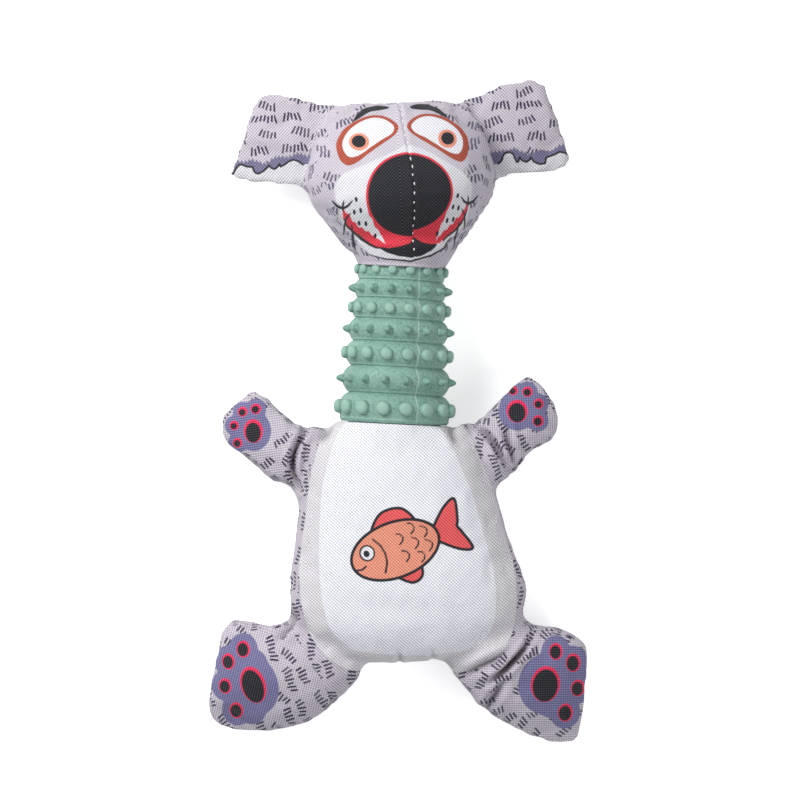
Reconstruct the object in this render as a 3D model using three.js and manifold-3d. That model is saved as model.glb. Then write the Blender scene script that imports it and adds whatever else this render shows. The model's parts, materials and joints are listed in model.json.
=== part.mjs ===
import * as THREE from 'three';
import { mergeVertices } from 'three/addons/utils/BufferGeometryUtils.js';
import Module from 'manifold-3d';

// A squeaky plush dog toy lying on its back. Millimetres, +Z up, +Y towards the head.

const wasm = await Module();
wasm.setup();

// Cloth and fits
const FABRIC = 1.2; // canvas wall
const GAP = 0.3; // clearance between neighbouring pieces
const SETTLE = 0.8; // how far a stuffed back flattens where it lies
const THIN = 0.4; // least half size left where an inner form runs out

// Whole toy, as it lies
const TOY_LENGTH = 333.5; // crown to the lower foot
const TOY_WIDTH = 197; // across the feet
const TOY_DEPTH = 72.9; // back to nose

// Every soft form has a length, a half width and a depth, and rows that give their shares along it
const TORSO_LENGTH = 0.3418 * TOY_LENGTH;
const TORSO_HALF_WIDTH = 0.3046 * TOY_WIDTH;
const TORSO_HALF_DEPTH = 0.4362 * TOY_DEPTH;
const SEAM_HEIGHT = TORSO_HALF_DEPTH - SETTLE; // the side seam above the surface

// Torso, from crotch to shoulders, measured from the middle of the belly
const TORSO_LEAN = 2.4; // degrees of its middle line to the left, as it lies
const TORSO_ROWS = [
  { along: -0.491, wide: 0.283, deep: 0.283 },
  { along: -0.439, wide: 0.7, deep: 0.66 },
  { along: -0.333, wide: 0.945, deep: 0.896 },
  { along: -0.193, wide: 1, deep: 1 },
  { along: 0, wide: 0.917, deep: 1 },
  { along: 0.175, wide: 0.85, deep: 0.981 },
  { along: 0.333, wide: 0.792, deep: 0.928 },
  { along: 0.439, wide: 0.74, deep: 0.849 },
  { along: 0.5, wide: 0.68, deep: 0.72 },
  { along: 0.54, wide: 0.61, deep: 0.56 },
  { along: 0.556, wide: 0.52, deep: 0.38 },
];

// Neck sleeve: moulded rubber, ribs growing from the head end to the foot end
const RIBS = 7;
const RIB_PITCH_FOOT = 0.0438 * TOY_LENGTH;
const RIB_PITCH_HEAD = 0.024 * TOY_LENGTH;
const CREST_FOOT = 28; // radius over the first rib
const CREST_HEAD = 0.788 * CREST_FOOT; // radius over the last rib
const GROOVE_FOOT = 0.857 * CREST_FOOT; // radius in the first groove
const GROOVE_HEAD = 0.739 * CREST_FOOT; // radius at the head rim
const FOOT_RIM = 0.939 * CREST_FOOT;
const SLEEVE_WALL = 3.4; // rubber under the grooves
const NECK_LEAN = 5.9; // degrees, as it lies
const NECK_SWAY_LEFT = 12; // degrees it sways from there
const NECK_SWAY_RIGHT = 8;
const RIM_HEIGHT = 0.558 * TORSO_LENGTH; // foot rim from the middle of the belly
const STUDS_AROUND = 16;
const DOME_RADIUS = 3;
const DOME_HEIGHT = 2.2;
const SPIKE_RADIUS = 2.1;
const SPIKE_HEIGHT = 4;

// Rounded ends of torso and head that seat in the sleeve
const TORSO_BALL = CREST_FOOT;
const TORSO_SEAT = 0.871 * CREST_FOOT; // seat radius at the foot rim
const HEAD_BALL = 0.857 * CREST_FOOT;
const HEAD_SEAT = 0.7 * CREST_FOOT; // seat radius at the head rim

// Head, from chin to crown, measured from the centre of its ball
const HEAD_LENGTH = 0.2324 * TOY_LENGTH;
const HEAD_HALF_WIDTH = 0.2452 * TOY_WIDTH;
const HEAD_FRONT = 0.576 * TOY_DEPTH;
const HEAD_BACK = TORSO_HALF_DEPTH;
const HEAD_ROLL = 5.1; // degrees against the neck, as it lies
const HEAD_TURN = 6; // degrees about the neck, as it lies
const FACE_SEAM = -0.041 * TOY_DEPTH; // the ear-to-ear seam behind the middle of the neck
const HEAD_ROWS = [
  { along: -0.15, wide: 0.405, front: 0.405, back: 0.535 },
  { along: -0.052, wide: 0.625, front: 0.56, back: 0.723 },
  { along: 0.065, wide: 0.765, front: 0.774, back: 0.912 },
  { along: 0.181, wide: 0.89, front: 0.952, back: 1 },
  { along: 0.284, wide: 0.981, front: 1, back: 1 },
  { along: 0.439, wide: 1, front: 0.905, back: 1 },
  { along: 0.594, wide: 0.932, front: 0.774, back: 0.959 },
  { along: 0.723, wide: 0.859, front: 0.595, back: 0.786 },
  { along: 0.806, wide: 0.766, front: 0.381, back: 0.519 },
  { along: 0.845, wide: 0.642, front: 0.167, back: 0.252 },
];

// Ears: a flap along each upper side of the head
const EAR_LENGTH = 0.204 * TOY_WIDTH;
const EAR_HALF_WIDTH = 0.0705 * TOY_LENGTH;
const EAR_HALF_DEPTH = 0.0604 * TOY_DEPTH;
const EAR_ROOT_LOW = 0.3355 * HEAD_LENGTH; // height of the lower end of the root
const EAR_ROOT_HIGH = 0.875 * HEAD_LENGTH; // height of the upper end of the root
const EAR_STANDOFF = 1.5; // root line outside the side of the head
const EAR_KNUCKLE = 0.909 * EAR_HALF_DEPTH; // half thickness at the root
const EAR_SLIDE = 0.28 * EAR_HALF_WIDTH; // how far the flap slides down along its root
const EAR_DROOP_LEFT = 28; // degrees down to the surface
const EAR_DROOP_RIGHT = 0;
const EAR_TURN_RIGHT = 6; // degrees the flap curves towards the feet
const EAR_FOLD_FRONT = 60;
const EAR_FOLD_BACK = 40;
const EAR_ROWS = [
  { along: 0.237, wide: 0.936, deep: 0.955 },
  { along: 0.579, wide: 1, deep: 1 },
  { along: 0.895, wide: 1, deep: 0.864 },
  { along: 1, wide: 0.872, deep: 0.409 },
];

// Arms: raised mitts hinged on the sides of the shoulders
const ARM_LENGTH = 0.2242 * TOY_WIDTH;
const ARM_HALF_WIDTH = 0.0465 * TOY_LENGTH;
const ARM_HALF_DEPTH = 0.1728 * TOY_DEPTH;
const SHOULDER = 0.405 * TORSO_LENGTH; // hinge height from the middle of the belly
const ARM_STANDOFF = 2.5;
const ARM_KNUCKLE = 0.952 * ARM_HALF_DEPTH;
const ARM_ROOT_HALF_WIDTH = 1.06 * ARM_HALF_WIDTH;
const ARM_RAISE_LEFT = 40; // degrees, as it lies
const ARM_RAISE_RIGHT = 44;
const ARM_DROOP = 12; // degrees down to the surface
const ARM_TURN_LEFT = 11; // degrees the mitt curves towards the head
const ARM_TURN_RIGHT = -4;
const ARM_FOLD_FRONT = 45; // degrees it folds over the belly
const ARM_FOLD_BACK = 25;
const ARM_ROWS = [
  { along: 0.267, wide: 0.98, deep: 1 },
  { along: 0.556, wide: 0.97, deep: 0.984 },
  { along: 0.822, wide: 0.98, deep: 0.754 },
  { along: 0.956, wide: 0.84, deep: 0.397 },
  { along: 1, wide: 0.57, deep: 0.198 },
];

// Legs: broad feet hinged on the lower corners of the torso
const LEG_LENGTH = 0.2792 * TOY_WIDTH;
const LEG_HALF_WIDTH = 0.0855 * TOY_LENGTH;
const LEG_HALF_DEPTH = 0.2359 * TOY_DEPTH;
const HIP = -0.452 * TORSO_LENGTH; // hinge height from the middle of the belly
const HIP_LEFT = 0.2415 * TOY_WIDTH; // hinge from the torso's middle line
const HIP_RIGHT = 0.1981 * TOY_WIDTH;
const LEG_KNUCKLE = 0.988 * LEG_HALF_DEPTH;
const LEG_ROOT_HALF_WIDTH = 0.789 * LEG_HALF_WIDTH;
const LEG_SPLAY_LEFT = 28; // degrees below level, as it lies
const LEG_SPLAY_RIGHT = 49;
const LEG_DROOP = 14;
const LEG_TURN = 40; // degrees the foot curves towards the head
const LEG_FOLD_FRONT = 40;
const LEG_FOLD_BACK = 20;
const LEG_ROWS = [
  { along: 0.255, wide: 0.86, deep: 1 },
  { along: 0.527, wide: 0.965, deep: 0.988 },
  { along: 0.764, wide: 1, deep: 0.814 },
  { along: 0.936, wide: 0.895, deep: 0.523 },
  { along: 1, wide: 0.737, deep: 0.233 },
];

// Squeaker: a bellows between a base and a cap, in a pocket of the torso stuffing
const SQUEAKER_PLACE = -0.07 * TORSO_LENGTH; // from the middle of the belly, towards the feet
const SQUEAKER_RADIUS = 19;
const BASE_HEIGHT = 7;
const BELLOWS_HEIGHT = 11;
const BELLOWS_WALL = 1;
const BELLOWS_FOLD = 3; // depth of each fold
const BELLOWS_FOLDS = 3;
const CAP_HEIGHT = 5;
const EDGE = 1; // bevel of its moulded edges
const REED_RADIUS = 4.5;
const REED_HEIGHT = 9;
const REED_BORE = 1.6;

// Facets
const BODY_SIDES = 20;
const BODY_ROWS = 11;
const LIMB_SIDES = 12;
const EAR_SIDES = 12;
const NECK_SIDES = 16; // one flat for each column of studs
const STUD_SIDES = 6;
const ROD_SIDES = 16;

const radians = THREE.MathUtils.degToRad;

// Colours
const CANVAS = '#d3cdd8';
const RUBBER = '#86ada3';
const FIBRE = '#f1efe9';
const MOULDED = '#e9e6dc';
const REED_COLOUR = '#c9473f';

// Solids from position-only geometry, and back
function solidOf(geometry) {
  const bare = new THREE.BufferGeometry();
  bare.setAttribute('position', geometry.getAttribute('position').clone());
  if (geometry.index) {
    bare.setIndex(geometry.index.clone());
  }
  const merged = mergeVertices(bare, 1e-4);
  const mesh = new wasm.Mesh({
    numProp: 3,
    vertProperties: new Float32Array(merged.getAttribute('position').array),
    triVerts: new Uint32Array(merged.index.array),
  });
  return new wasm.Manifold(mesh);
}

function geometryOf(solid) {
  const mesh = solid.getMesh();
  const geometry = new THREE.BufferGeometry();
  geometry.setAttribute('position', new THREE.BufferAttribute(new Float32Array(mesh.vertProperties), 3));
  geometry.setIndex(new THREE.BufferAttribute(new Uint32Array(mesh.triVerts), 1));
  geometry.computeVertexNormals();
  return geometry;
}

function place(group, name, solid, colour, roughness) {
  const material = new THREE.MeshStandardMaterial({ color: colour, roughness, metalness: 0, flatShading: true });
  const mesh = new THREE.Mesh(geometryOf(solid), material);
  mesh.name = name;
  group.add(mesh);
}

// A large box that keeps what lies on the positive side of a plane across one axis
function beyond(axis, from, sign) {
  const size = 1000;
  const box = new THREE.BoxGeometry(size, size, size);
  const offset = new THREE.Vector3();
  offset[axis] = from + sign * size / 2;
  box.translate(offset.x, offset.y, offset.z);
  return solidOf(box);
}

// What lies above the surface the toy rests on, seen from inside a turned group
function aboveSurface(group, height) {
  const size = 1000;
  const box = new THREE.BoxGeometry(size, size, size);
  box.translate(0, 0, size / 2 + height);
  group.updateWorldMatrix(true, false);
  box.applyMatrix4(group.matrixWorld.clone().invert());
  return solidOf(box);
}

// Round cutters whose facets stay outside the named radius
function ball(radius, centre) {
  const sphere = new THREE.SphereGeometry(radius, BODY_SIDES, BODY_SIDES / 2);
  sphere.translate(centre.x, centre.y, centre.z);
  return solidOf(sphere);
}

function ballCutter(radius, centre) {
  const facet = Math.cos(Math.PI / BODY_SIDES);
  return ball(radius / (facet * facet), centre);
}

function rodCutter(radius, halfLength) {
  const outer = radius / Math.cos(Math.PI / ROD_SIDES);
  return solidOf(new THREE.CylinderGeometry(outer, outer, 2 * halfLength, ROD_SIDES));
}

// Stations in millimetres from the shares of a form's rows
function sized(rows, length, halfWidth, front, back) {
  return rows.map((row) => ({
    along: row.along * length,
    halfWidth: row.wide * halfWidth,
    front: (row.front ?? row.deep) * front,
    back: (row.back ?? row.deep) * back,
  }));
}

const torsoStations = sized(TORSO_ROWS, TORSO_LENGTH, TORSO_HALF_WIDTH, TORSO_HALF_DEPTH, TORSO_HALF_DEPTH);
const headStations = sized(HEAD_ROWS, HEAD_LENGTH, HEAD_HALF_WIDTH, HEAD_FRONT, HEAD_BACK);
const earStations = sized(EAR_ROWS, EAR_LENGTH, EAR_HALF_WIDTH, EAR_HALF_DEPTH, EAR_HALF_DEPTH);
const armStations = sized(ARM_ROWS, ARM_LENGTH, ARM_HALF_WIDTH, ARM_HALF_DEPTH, ARM_HALF_DEPTH);
const legStations = sized(LEG_ROWS, LEG_LENGTH, LEG_HALF_WIDTH, LEG_HALF_DEPTH, LEG_HALF_DEPTH);

// Smooth reading of the stations at a place between them
function readStations(stations, index, key) {
  const low = Math.min(Math.floor(index), stations.length - 2);
  const t = index - low;
  const at = (i) => stations[THREE.MathUtils.clamp(i, 0, stations.length - 1)][key];
  const slopeLow = (at(low + 1) - at(low - 1)) / 2;
  const slopeHigh = (at(low + 2) - at(low)) / 2;
  const t2 = t * t;
  const t3 = t2 * t;
  return (2 * t3 - 3 * t2 + 1) * at(low) + (t3 - 2 * t2 + t) * slopeLow
    + (3 * t2 - 2 * t3) * at(low + 1) + (t3 - t2) * slopeHigh;
}

// A padded form: rounded sections, closed at both ends.
// Every row has a centre, a half width across, and a depth in front and behind.
function padded(rows, sides, roundness) {
  const positions = [];
  const faces = [];
  const power = 2 / roundness;
  for (const row of rows) {
    for (let k = 0; k < sides; k += 1) {
      const turn = 2 * Math.PI * k / sides;
      const c = Math.cos(turn);
      const s = Math.sin(turn);
      const wide = row.halfWidth * Math.sign(c) * Math.abs(c) ** power;
      const deep = (s > 0 ? row.front : row.back) * Math.sign(s) * Math.abs(s) ** power;
      const point = row.centre.clone().addScaledVector(row.across, wide);
      positions.push(point.x, point.y, point.z + deep);
    }
  }
  const first = positions.length / 3;
  const last = first + 1;
  for (const row of [rows[0], rows[rows.length - 1]]) {
    positions.push(row.centre.x, row.centre.y, row.centre.z);
  }
  for (let r = 0; r < rows.length - 1; r += 1) {
    for (let k = 0; k < sides; k += 1) {
      const a = r * sides + k;
      const b = r * sides + (k + 1) % sides;
      faces.push(a, a + sides, b, b, a + sides, b + sides);
    }
  }
  const top = (rows.length - 1) * sides;
  for (let k = 0; k < sides; k += 1) {
    const next = (k + 1) % sides;
    faces.push(first, k, next);
    faces.push(last, top + next, top + k);
  }
  const geometry = new THREE.BufferGeometry();
  geometry.setAttribute('position', new THREE.Float32BufferAttribute(positions, 3));
  geometry.setIndex(faces);
  const solid = solidOf(geometry);
  if (solid.volume() > 0) {
    return solid;
  }
  geometry.setIndex(faces.slice().reverse());
  return solidOf(geometry);
}

// Rows of an upright form, torso or head, along a middle line that may lean, drawn in by an inset
function uprightRows(stations, count, inset, lean) {
  const rows = [];
  const low = stations[0].along;
  const high = stations[stations.length - 1].along;
  const shrink = (high - low - 2 * inset) / (high - low);
  for (let i = 0; i < count; i += 1) {
    const index = (stations.length - 1) * i / (count - 1);
    const along = readStations(stations, index, 'along');
    const read = (key) => Math.max(readStations(stations, index, key) - inset, THIN);
    const height = low + inset + (along - low) * shrink;
    rows.push({
      centre: new THREE.Vector3(-height * Math.tan(radians(lean)), height, 0),
      across: new THREE.Vector3(1, 0, 0),
      halfWidth: read('halfWidth'),
      front: read('front'),
      back: read('back'),
    });
  }
  return rows;
}

// Rows of a limb along local X: a round knuckle on the hinge line, then its stations
function limbRows(limb, inset) {
  const knuckle = limb.knuckle - inset;
  const rows = [];
  for (const turn of [82, 55, 28, 0]) {
    const out = -knuckle * Math.sin(radians(turn));
    const deep = knuckle * Math.cos(radians(turn));
    const halfWidth = limb.rootHalfWidth - inset - 0.3 * (knuckle - deep);
    const across = new THREE.Vector3(0, 1, 0);
    rows.push({ centre: new THREE.Vector3(out, 0, 0), across, halfWidth, front: deep, back: deep });
  }
  const reach = limb.stations[limb.stations.length - 1].along;
  const shrink = (reach - inset) / reach;
  for (const station of limb.stations) {
    const along = station.along * shrink;
    const turn = radians(limb.turn) * along / reach;
    const chord = turn === 0 ? along : along * Math.sin(turn / 2) / (turn / 2);
    const slide = limb.slide * station.along / reach;
    rows.push({
      centre: new THREE.Vector3(chord * Math.cos(turn / 2), chord * Math.sin(turn / 2) + slide, 0),
      across: new THREE.Vector3(-Math.sin(turn), Math.cos(turn), 0),
      halfWidth: Math.max(station.halfWidth - inset, THIN),
      front: Math.max(station.front - inset, THIN),
      back: Math.max(station.back - inset, THIN),
    });
  }
  return rows;
}

// The stations give the torso and head their width at a height, for what is sewn to their sides
function halfWidthAt(stations, along) {
  for (let i = 0; i < stations.length - 1; i += 1) {
    if (along <= stations[i + 1].along) {
      const t = (along - stations[i].along) / (stations[i + 1].along - stations[i].along);
      return THREE.MathUtils.lerp(stations[i].halfWidth, stations[i + 1].halfWidth, t);
    }
  }
  return stations[stations.length - 1].halfWidth;
}

const toy = new THREE.Group();
toy.name = 'toy';
const lying = new THREE.Group();
lying.position.z = SEAM_HEIGHT;
toy.add(lying);

// Limb places, shared by the limb and by the seat that the torso gives it
function limbGroup(name, parent, x, y, heading, droop) {
  const hinge = new THREE.Group();
  hinge.name = name;
  hinge.position.set(x, y, 0);
  hinge.rotation.z = radians(heading);
  parent.add(hinge);
  const tilt = new THREE.Group();
  tilt.rotation.y = radians(droop);
  hinge.add(tilt);
  return tilt;
}

const shoulderOut = halfWidthAt(torsoStations, SHOULDER) + ARM_STANDOFF;
const torsoMiddle = (along) => -along * Math.tan(radians(TORSO_LEAN));
const armForm = {
  knuckle: ARM_KNUCKLE, rootHalfWidth: ARM_ROOT_HALF_WIDTH, stations: armStations,
  foldFront: ARM_FOLD_FRONT, foldBack: ARM_FOLD_BACK, slide: 0, sides: LIMB_SIDES, roundness: 2.3,
};
const legForm = {
  knuckle: LEG_KNUCKLE, rootHalfWidth: LEG_ROOT_HALF_WIDTH, stations: legStations,
  foldFront: LEG_FOLD_FRONT, foldBack: LEG_FOLD_BACK, slide: 0, sides: LIMB_SIDES, roundness: 2.3,
};
const limbs = [
  {
    ...armForm, name: 'left_arm', turn: -ARM_TURN_LEFT,
    group: limbGroup('left_arm_hinge', lying, torsoMiddle(SHOULDER) - shoulderOut, SHOULDER, 180 - ARM_RAISE_LEFT, ARM_DROOP),
  },
  {
    ...armForm, name: 'right_arm', turn: ARM_TURN_RIGHT,
    group: limbGroup('right_arm_hinge', lying, torsoMiddle(SHOULDER) + shoulderOut, SHOULDER, ARM_RAISE_RIGHT, ARM_DROOP),
  },
  {
    ...legForm, name: 'left_leg', turn: -LEG_TURN,
    group: limbGroup('left_leg_hinge', lying, torsoMiddle(HIP) - HIP_LEFT, HIP, 180 + LEG_SPLAY_LEFT, LEG_DROOP),
  },
  {
    ...legForm, name: 'right_leg', turn: LEG_TURN,
    group: limbGroup('right_leg_hinge', lying, torsoMiddle(HIP) + HIP_RIGHT, HIP, -LEG_SPLAY_RIGHT, LEG_DROOP),
  },
];

// A cover is the wall between a form and its inset, parted along a sewn plane
const frontHalf = (seam) => beyond('z', seam + GAP / 2, 1);
const backHalf = (seam) => beyond('z', seam - GAP / 2, -1);

const limbForm = (limb, inset, sides) => padded(limbRows(limb, inset), sides, limb.roundness);

function limbPieces(limb) {
  const form = (inset, sides) => limbForm(limb, inset, sides).intersect(aboveSurface(limb.group, inset));
  const wall = form(0, limb.sides).subtract(form(FABRIC, limb.sides));
  place(limb.group, `${limb.name}_front_panel`, wall.intersect(frontHalf(0)), CANVAS, 0.9);
  place(limb.group, `${limb.name}_back_panel`, wall.intersect(backHalf(0)), CANVAS, 0.9);
  return form(FABRIC + GAP, limb.sides / 2);
}

for (const limb of limbs) {
  place(limb.group, `${limb.name}_stuffing`, limbPieces(limb), FIBRE, 1);
}

// The room a limb needs in the form it is sewn to: its knuckle, and its sweep from fold to fold
function limbSeat(limb, parent) {
  let room = rodCutter(limb.knuckle + GAP, limb.rootHalfWidth + GAP);
  const grown = limbForm(limb, -GAP, limb.sides);
  const steps = 8;
  for (let i = 0; i <= steps; i += 1) {
    room = room.add(grown.rotate([0, limb.foldBack - (limb.foldFront + limb.foldBack) * i / steps, 0]));
  }
  limb.group.updateWorldMatrix(true, false);
  const matrix = parent.matrixWorld.clone().invert().multiply(limb.group.matrixWorld);
  return room.transform(matrix.toArray());
}

function withSeats(solid, cutters) {
  return cutters.reduce((rest, cutter) => rest.subtract(cutter), solid);
}

// Torso, with its rounded neck end
const torsoBallBelow = Math.sqrt((TORSO_BALL + GAP) ** 2 - TORSO_SEAT ** 2);
const torsoBallHeight = RIM_HEIGHT - torsoBallBelow;
const torsoBallCentre = new THREE.Vector3(torsoMiddle(torsoBallHeight), torsoBallHeight, 0);
toy.updateMatrixWorld(true);
const seats = limbs.map((limb) => limbSeat(limb, lying));

// The room the swaying foot rim and its first studs need over the shoulders
function neckRoom(inset) {
  const rim = FOOT_RIM + GAP + inset;
  const studs = CREST_FOOT + DOME_HEIGHT + GAP + inset;
  const foot = torsoBallBelow - GAP - inset;
  const top = foot + RIM_HEIGHT;
  const profile = [[0, foot], [rim, foot], [studs, foot + RIB_PITCH_FOOT / 4], [studs, top], [0, top], [0, foot]];
  const points = profile.map(([r, y]) => new THREE.Vector2(r, y));
  const straight = solidOf(new THREE.LatheGeometry(points, BODY_SIDES));
  const steps = 6;
  let room = straight.rotate([0, 0, -NECK_LEAN - NECK_SWAY_RIGHT]);
  for (let i = 1; i <= steps; i += 1) {
    const sway = (NECK_SWAY_LEFT + NECK_SWAY_RIGHT) * i / steps - NECK_SWAY_RIGHT;
    room = room.add(straight.rotate([0, 0, sway - NECK_LEAN]));
  }
  return room.translate(torsoBallCentre.toArray());
}

function torsoForm(inset, sides) {
  let solid = padded(uprightRows(torsoStations, BODY_ROWS, inset, TORSO_LEAN), sides, 2.2).subtract(neckRoom(inset));
  solid = solid.add(ball(TORSO_BALL - inset, torsoBallCentre));
  return solid.intersect(aboveSurface(lying, inset));
}

const torsoWall = withSeats(torsoForm(0, BODY_SIDES).subtract(torsoForm(FABRIC, BODY_SIDES)), seats);
place(lying, 'torso_front_panel', torsoWall.intersect(frontHalf(0)), CANVAS, 0.9);
place(lying, 'torso_back_panel', torsoWall.intersect(backHalf(0)), CANVAS, 0.9);

// Squeaker, lathed about an upright axis
const squeaker = new THREE.Group();
squeaker.position.y = SQUEAKER_PLACE;
lying.add(squeaker);

function upright(profile) {
  const points = profile.map(([r, z]) => new THREE.Vector2(r, z));
  const lathe = new THREE.LatheGeometry(points, BODY_SIDES);
  lathe.rotateX(Math.PI / 2);
  return solidOf(lathe);
}

const squeakerHeight = BASE_HEIGHT + BELLOWS_HEIGHT + CAP_HEIGHT + 2 * GAP;
const baseFoot = -squeakerHeight / 2;
const baseTop = baseFoot + BASE_HEIGHT;
const bellowsFoot = baseTop + GAP;
const bellowsTop = bellowsFoot + BELLOWS_HEIGHT;
const capFoot = bellowsTop + GAP;
const capTop = capFoot + CAP_HEIGHT;
const reedHole = REED_RADIUS + GAP;

place(squeaker, 'squeaker_base', upright([
  [reedHole, baseFoot], [SQUEAKER_RADIUS - EDGE, baseFoot], [SQUEAKER_RADIUS, baseFoot + EDGE],
  [SQUEAKER_RADIUS, baseTop], [reedHole, baseTop], [reedHole, baseFoot],
]), MOULDED, 0.5);

place(squeaker, 'squeaker_reed', upright([
  [REED_BORE, baseFoot], [REED_RADIUS, baseFoot], [REED_RADIUS, baseFoot + REED_HEIGHT],
  [REED_BORE, baseFoot + REED_HEIGHT], [REED_BORE, baseFoot],
]), REED_COLOUR, 0.5);

function bellowsProfile() {
  const outer = [];
  const inner = [];
  const steps = 2 * BELLOWS_FOLDS;
  for (let i = 0; i <= steps; i += 1) {
    const z = bellowsFoot + BELLOWS_HEIGHT * i / steps;
    const radius = SQUEAKER_RADIUS - (i % 2 === 0 ? BELLOWS_FOLD : 0);
    outer.push([radius, z]);
    inner.unshift([radius - BELLOWS_WALL, z]);
  }
  return [...outer, ...inner, outer[0]];
}
place(squeaker, 'squeaker_bellows', upright(bellowsProfile()), MOULDED, 0.5);

place(squeaker, 'squeaker_cap', upright([
  [0, capFoot], [SQUEAKER_RADIUS, capFoot], [SQUEAKER_RADIUS, capTop - 2 * EDGE],
  [SQUEAKER_RADIUS - 3 * EDGE, capTop - 0.5 * EDGE], [0, capTop], [0, capFoot],
]), MOULDED, 0.5);

const pocket = upright([
  [0, baseFoot - GAP], [SQUEAKER_RADIUS + GAP, baseFoot - GAP], [SQUEAKER_RADIUS + GAP, capTop + GAP],
  [0, capTop + GAP], [0, baseFoot - GAP],
]).translate([0, SQUEAKER_PLACE, 0]);
const torsoFill = withSeats(torsoForm(FABRIC + GAP, BODY_SIDES / 2), seats).subtract(pocket);
place(lying, 'torso_stuffing_front', torsoFill.intersect(frontHalf(0)), FIBRE, 1);
place(lying, 'torso_stuffing_back', torsoFill.intersect(backHalf(0)), FIBRE, 1);

// Neck, turning on the ball of the torso
const neck = new THREE.Group();
neck.name = 'neck_pivot';
neck.position.copy(torsoBallCentre);
neck.rotation.z = -radians(NECK_LEAN);
lying.add(neck);

const ribPitch = (i) => THREE.MathUtils.lerp(RIB_PITCH_FOOT, RIB_PITCH_HEAD, i / (RIBS - 1));
const ribCrest = (i) => THREE.MathUtils.lerp(CREST_FOOT, CREST_HEAD, i / (RIBS - 1));
const ribFoot = (i) => {
  let sum = torsoBallBelow;
  for (let k = 0; k < i; k += 1) {
    sum += ribPitch(k);
  }
  return sum;
};
const footRim = ribFoot(0);
const headRim = ribFoot(RIBS);
const grooveAt = (i) => THREE.MathUtils.lerp(GROOVE_FOOT, GROOVE_HEAD, (i - 1) / (RIBS - 1));
const boreFoot = GROOVE_FOOT - SLEEVE_WALL;
const boreHead = GROOVE_HEAD - SLEEVE_WALL;
const headBallAbove = Math.sqrt((HEAD_BALL + GAP) ** 2 - HEAD_SEAT ** 2);
const headBallCentre = new THREE.Vector3(0, headRim + headBallAbove, 0);
const origin = new THREE.Vector3();

function turned(profile) {
  const points = profile.map(([r, y]) => new THREE.Vector2(r, y));
  return solidOf(new THREE.LatheGeometry(points, NECK_SIDES));
}

const ribProfile = [[boreFoot, footRim], [FOOT_RIM, footRim]];
for (let i = 0; i < RIBS; i += 1) {
  const low = i === 0 ? FOOT_RIM : grooveAt(i);
  const high = grooveAt(i + 1);
  for (const [share, swell] of [[0.2, 1], [0.8, 1], [1, 0]]) {
    const base = THREE.MathUtils.lerp(low, high, share);
    ribProfile.push([base + (ribCrest(i) - base) * swell, ribFoot(i) + ribPitch(i) * share]);
  }
}
ribProfile.push([boreHead, headRim], [boreFoot, footRim]);

const dome = [[0, -0.5], [1.05, -0.5], [0.78, 0.72], [0, 1]];
const spike = [[0, -0.5], [1.3, -0.5], [0, 1]];
function stud(shape, radius, height) {
  const points = shape.map(([r, y]) => new THREE.Vector2(r * radius, y * height));
  return new THREE.LatheGeometry(points, STUD_SIDES);
}

const facetShare = Math.cos(Math.PI / NECK_SIDES);
let sleeve = turned(ribProfile);
for (let i = 0; i < RIBS; i += 1) {
  const domed = i % 2 === 0;
  const scale = ribCrest(i) / CREST_FOOT;
  for (let k = 0; k < STUDS_AROUND; k += 1) {
    const piece = domed
      ? stud(dome, DOME_RADIUS * scale, DOME_HEIGHT * scale)
      : stud(spike, SPIKE_RADIUS, SPIKE_HEIGHT);
    piece.translate(0, ribCrest(i) * facetShare, 0);
    piece.rotateX(Math.PI / 2);
    piece.rotateY((k + 0.5) * 2 * Math.PI / STUDS_AROUND);
    piece.translate(0, ribFoot(i) + ribPitch(i) / 2, 0);
    sleeve = sleeve.add(solidOf(piece));
  }
}
const torsoSeat = ballCutter(TORSO_BALL + GAP, origin);
const headSeat = ballCutter(HEAD_BALL + GAP, headBallCentre);
sleeve = sleeve.subtract(torsoSeat).subtract(headSeat);
place(neck, 'neck_sleeve', sleeve, RUBBER, 0.8);

const tubeFoot = boreFoot * facetShare - GAP;
const tubeHead = boreHead * facetShare - GAP;
const tube = turned([
  [tubeFoot - FABRIC, footRim], [tubeFoot, footRim], [tubeHead, headRim],
  [tubeHead - FABRIC, headRim], [tubeFoot - FABRIC, footRim],
]);
place(neck, 'neck_tube', tube.subtract(torsoSeat).subtract(headSeat), CANVAS, 0.9);

const fillFoot = (tubeFoot - FABRIC) * facetShare - GAP;
const fillHead = (tubeHead - FABRIC) * facetShare - GAP;
const neckFill = turned([[0, footRim], [fillFoot, footRim], [fillHead, headRim], [0, headRim], [0, footRim]]);
place(neck, 'neck_stuffing', neckFill.subtract(torsoSeat).subtract(headSeat), FIBRE, 1);

// Head, nodding on its ball at the head end of the neck
const headPivot = new THREE.Group();
headPivot.name = 'head_pivot';
headPivot.position.copy(headBallCentre);
headPivot.rotation.z = radians(HEAD_ROLL);
neck.add(headPivot);
const head = new THREE.Group();
head.rotation.y = radians(HEAD_TURN);
headPivot.add(head);

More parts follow.
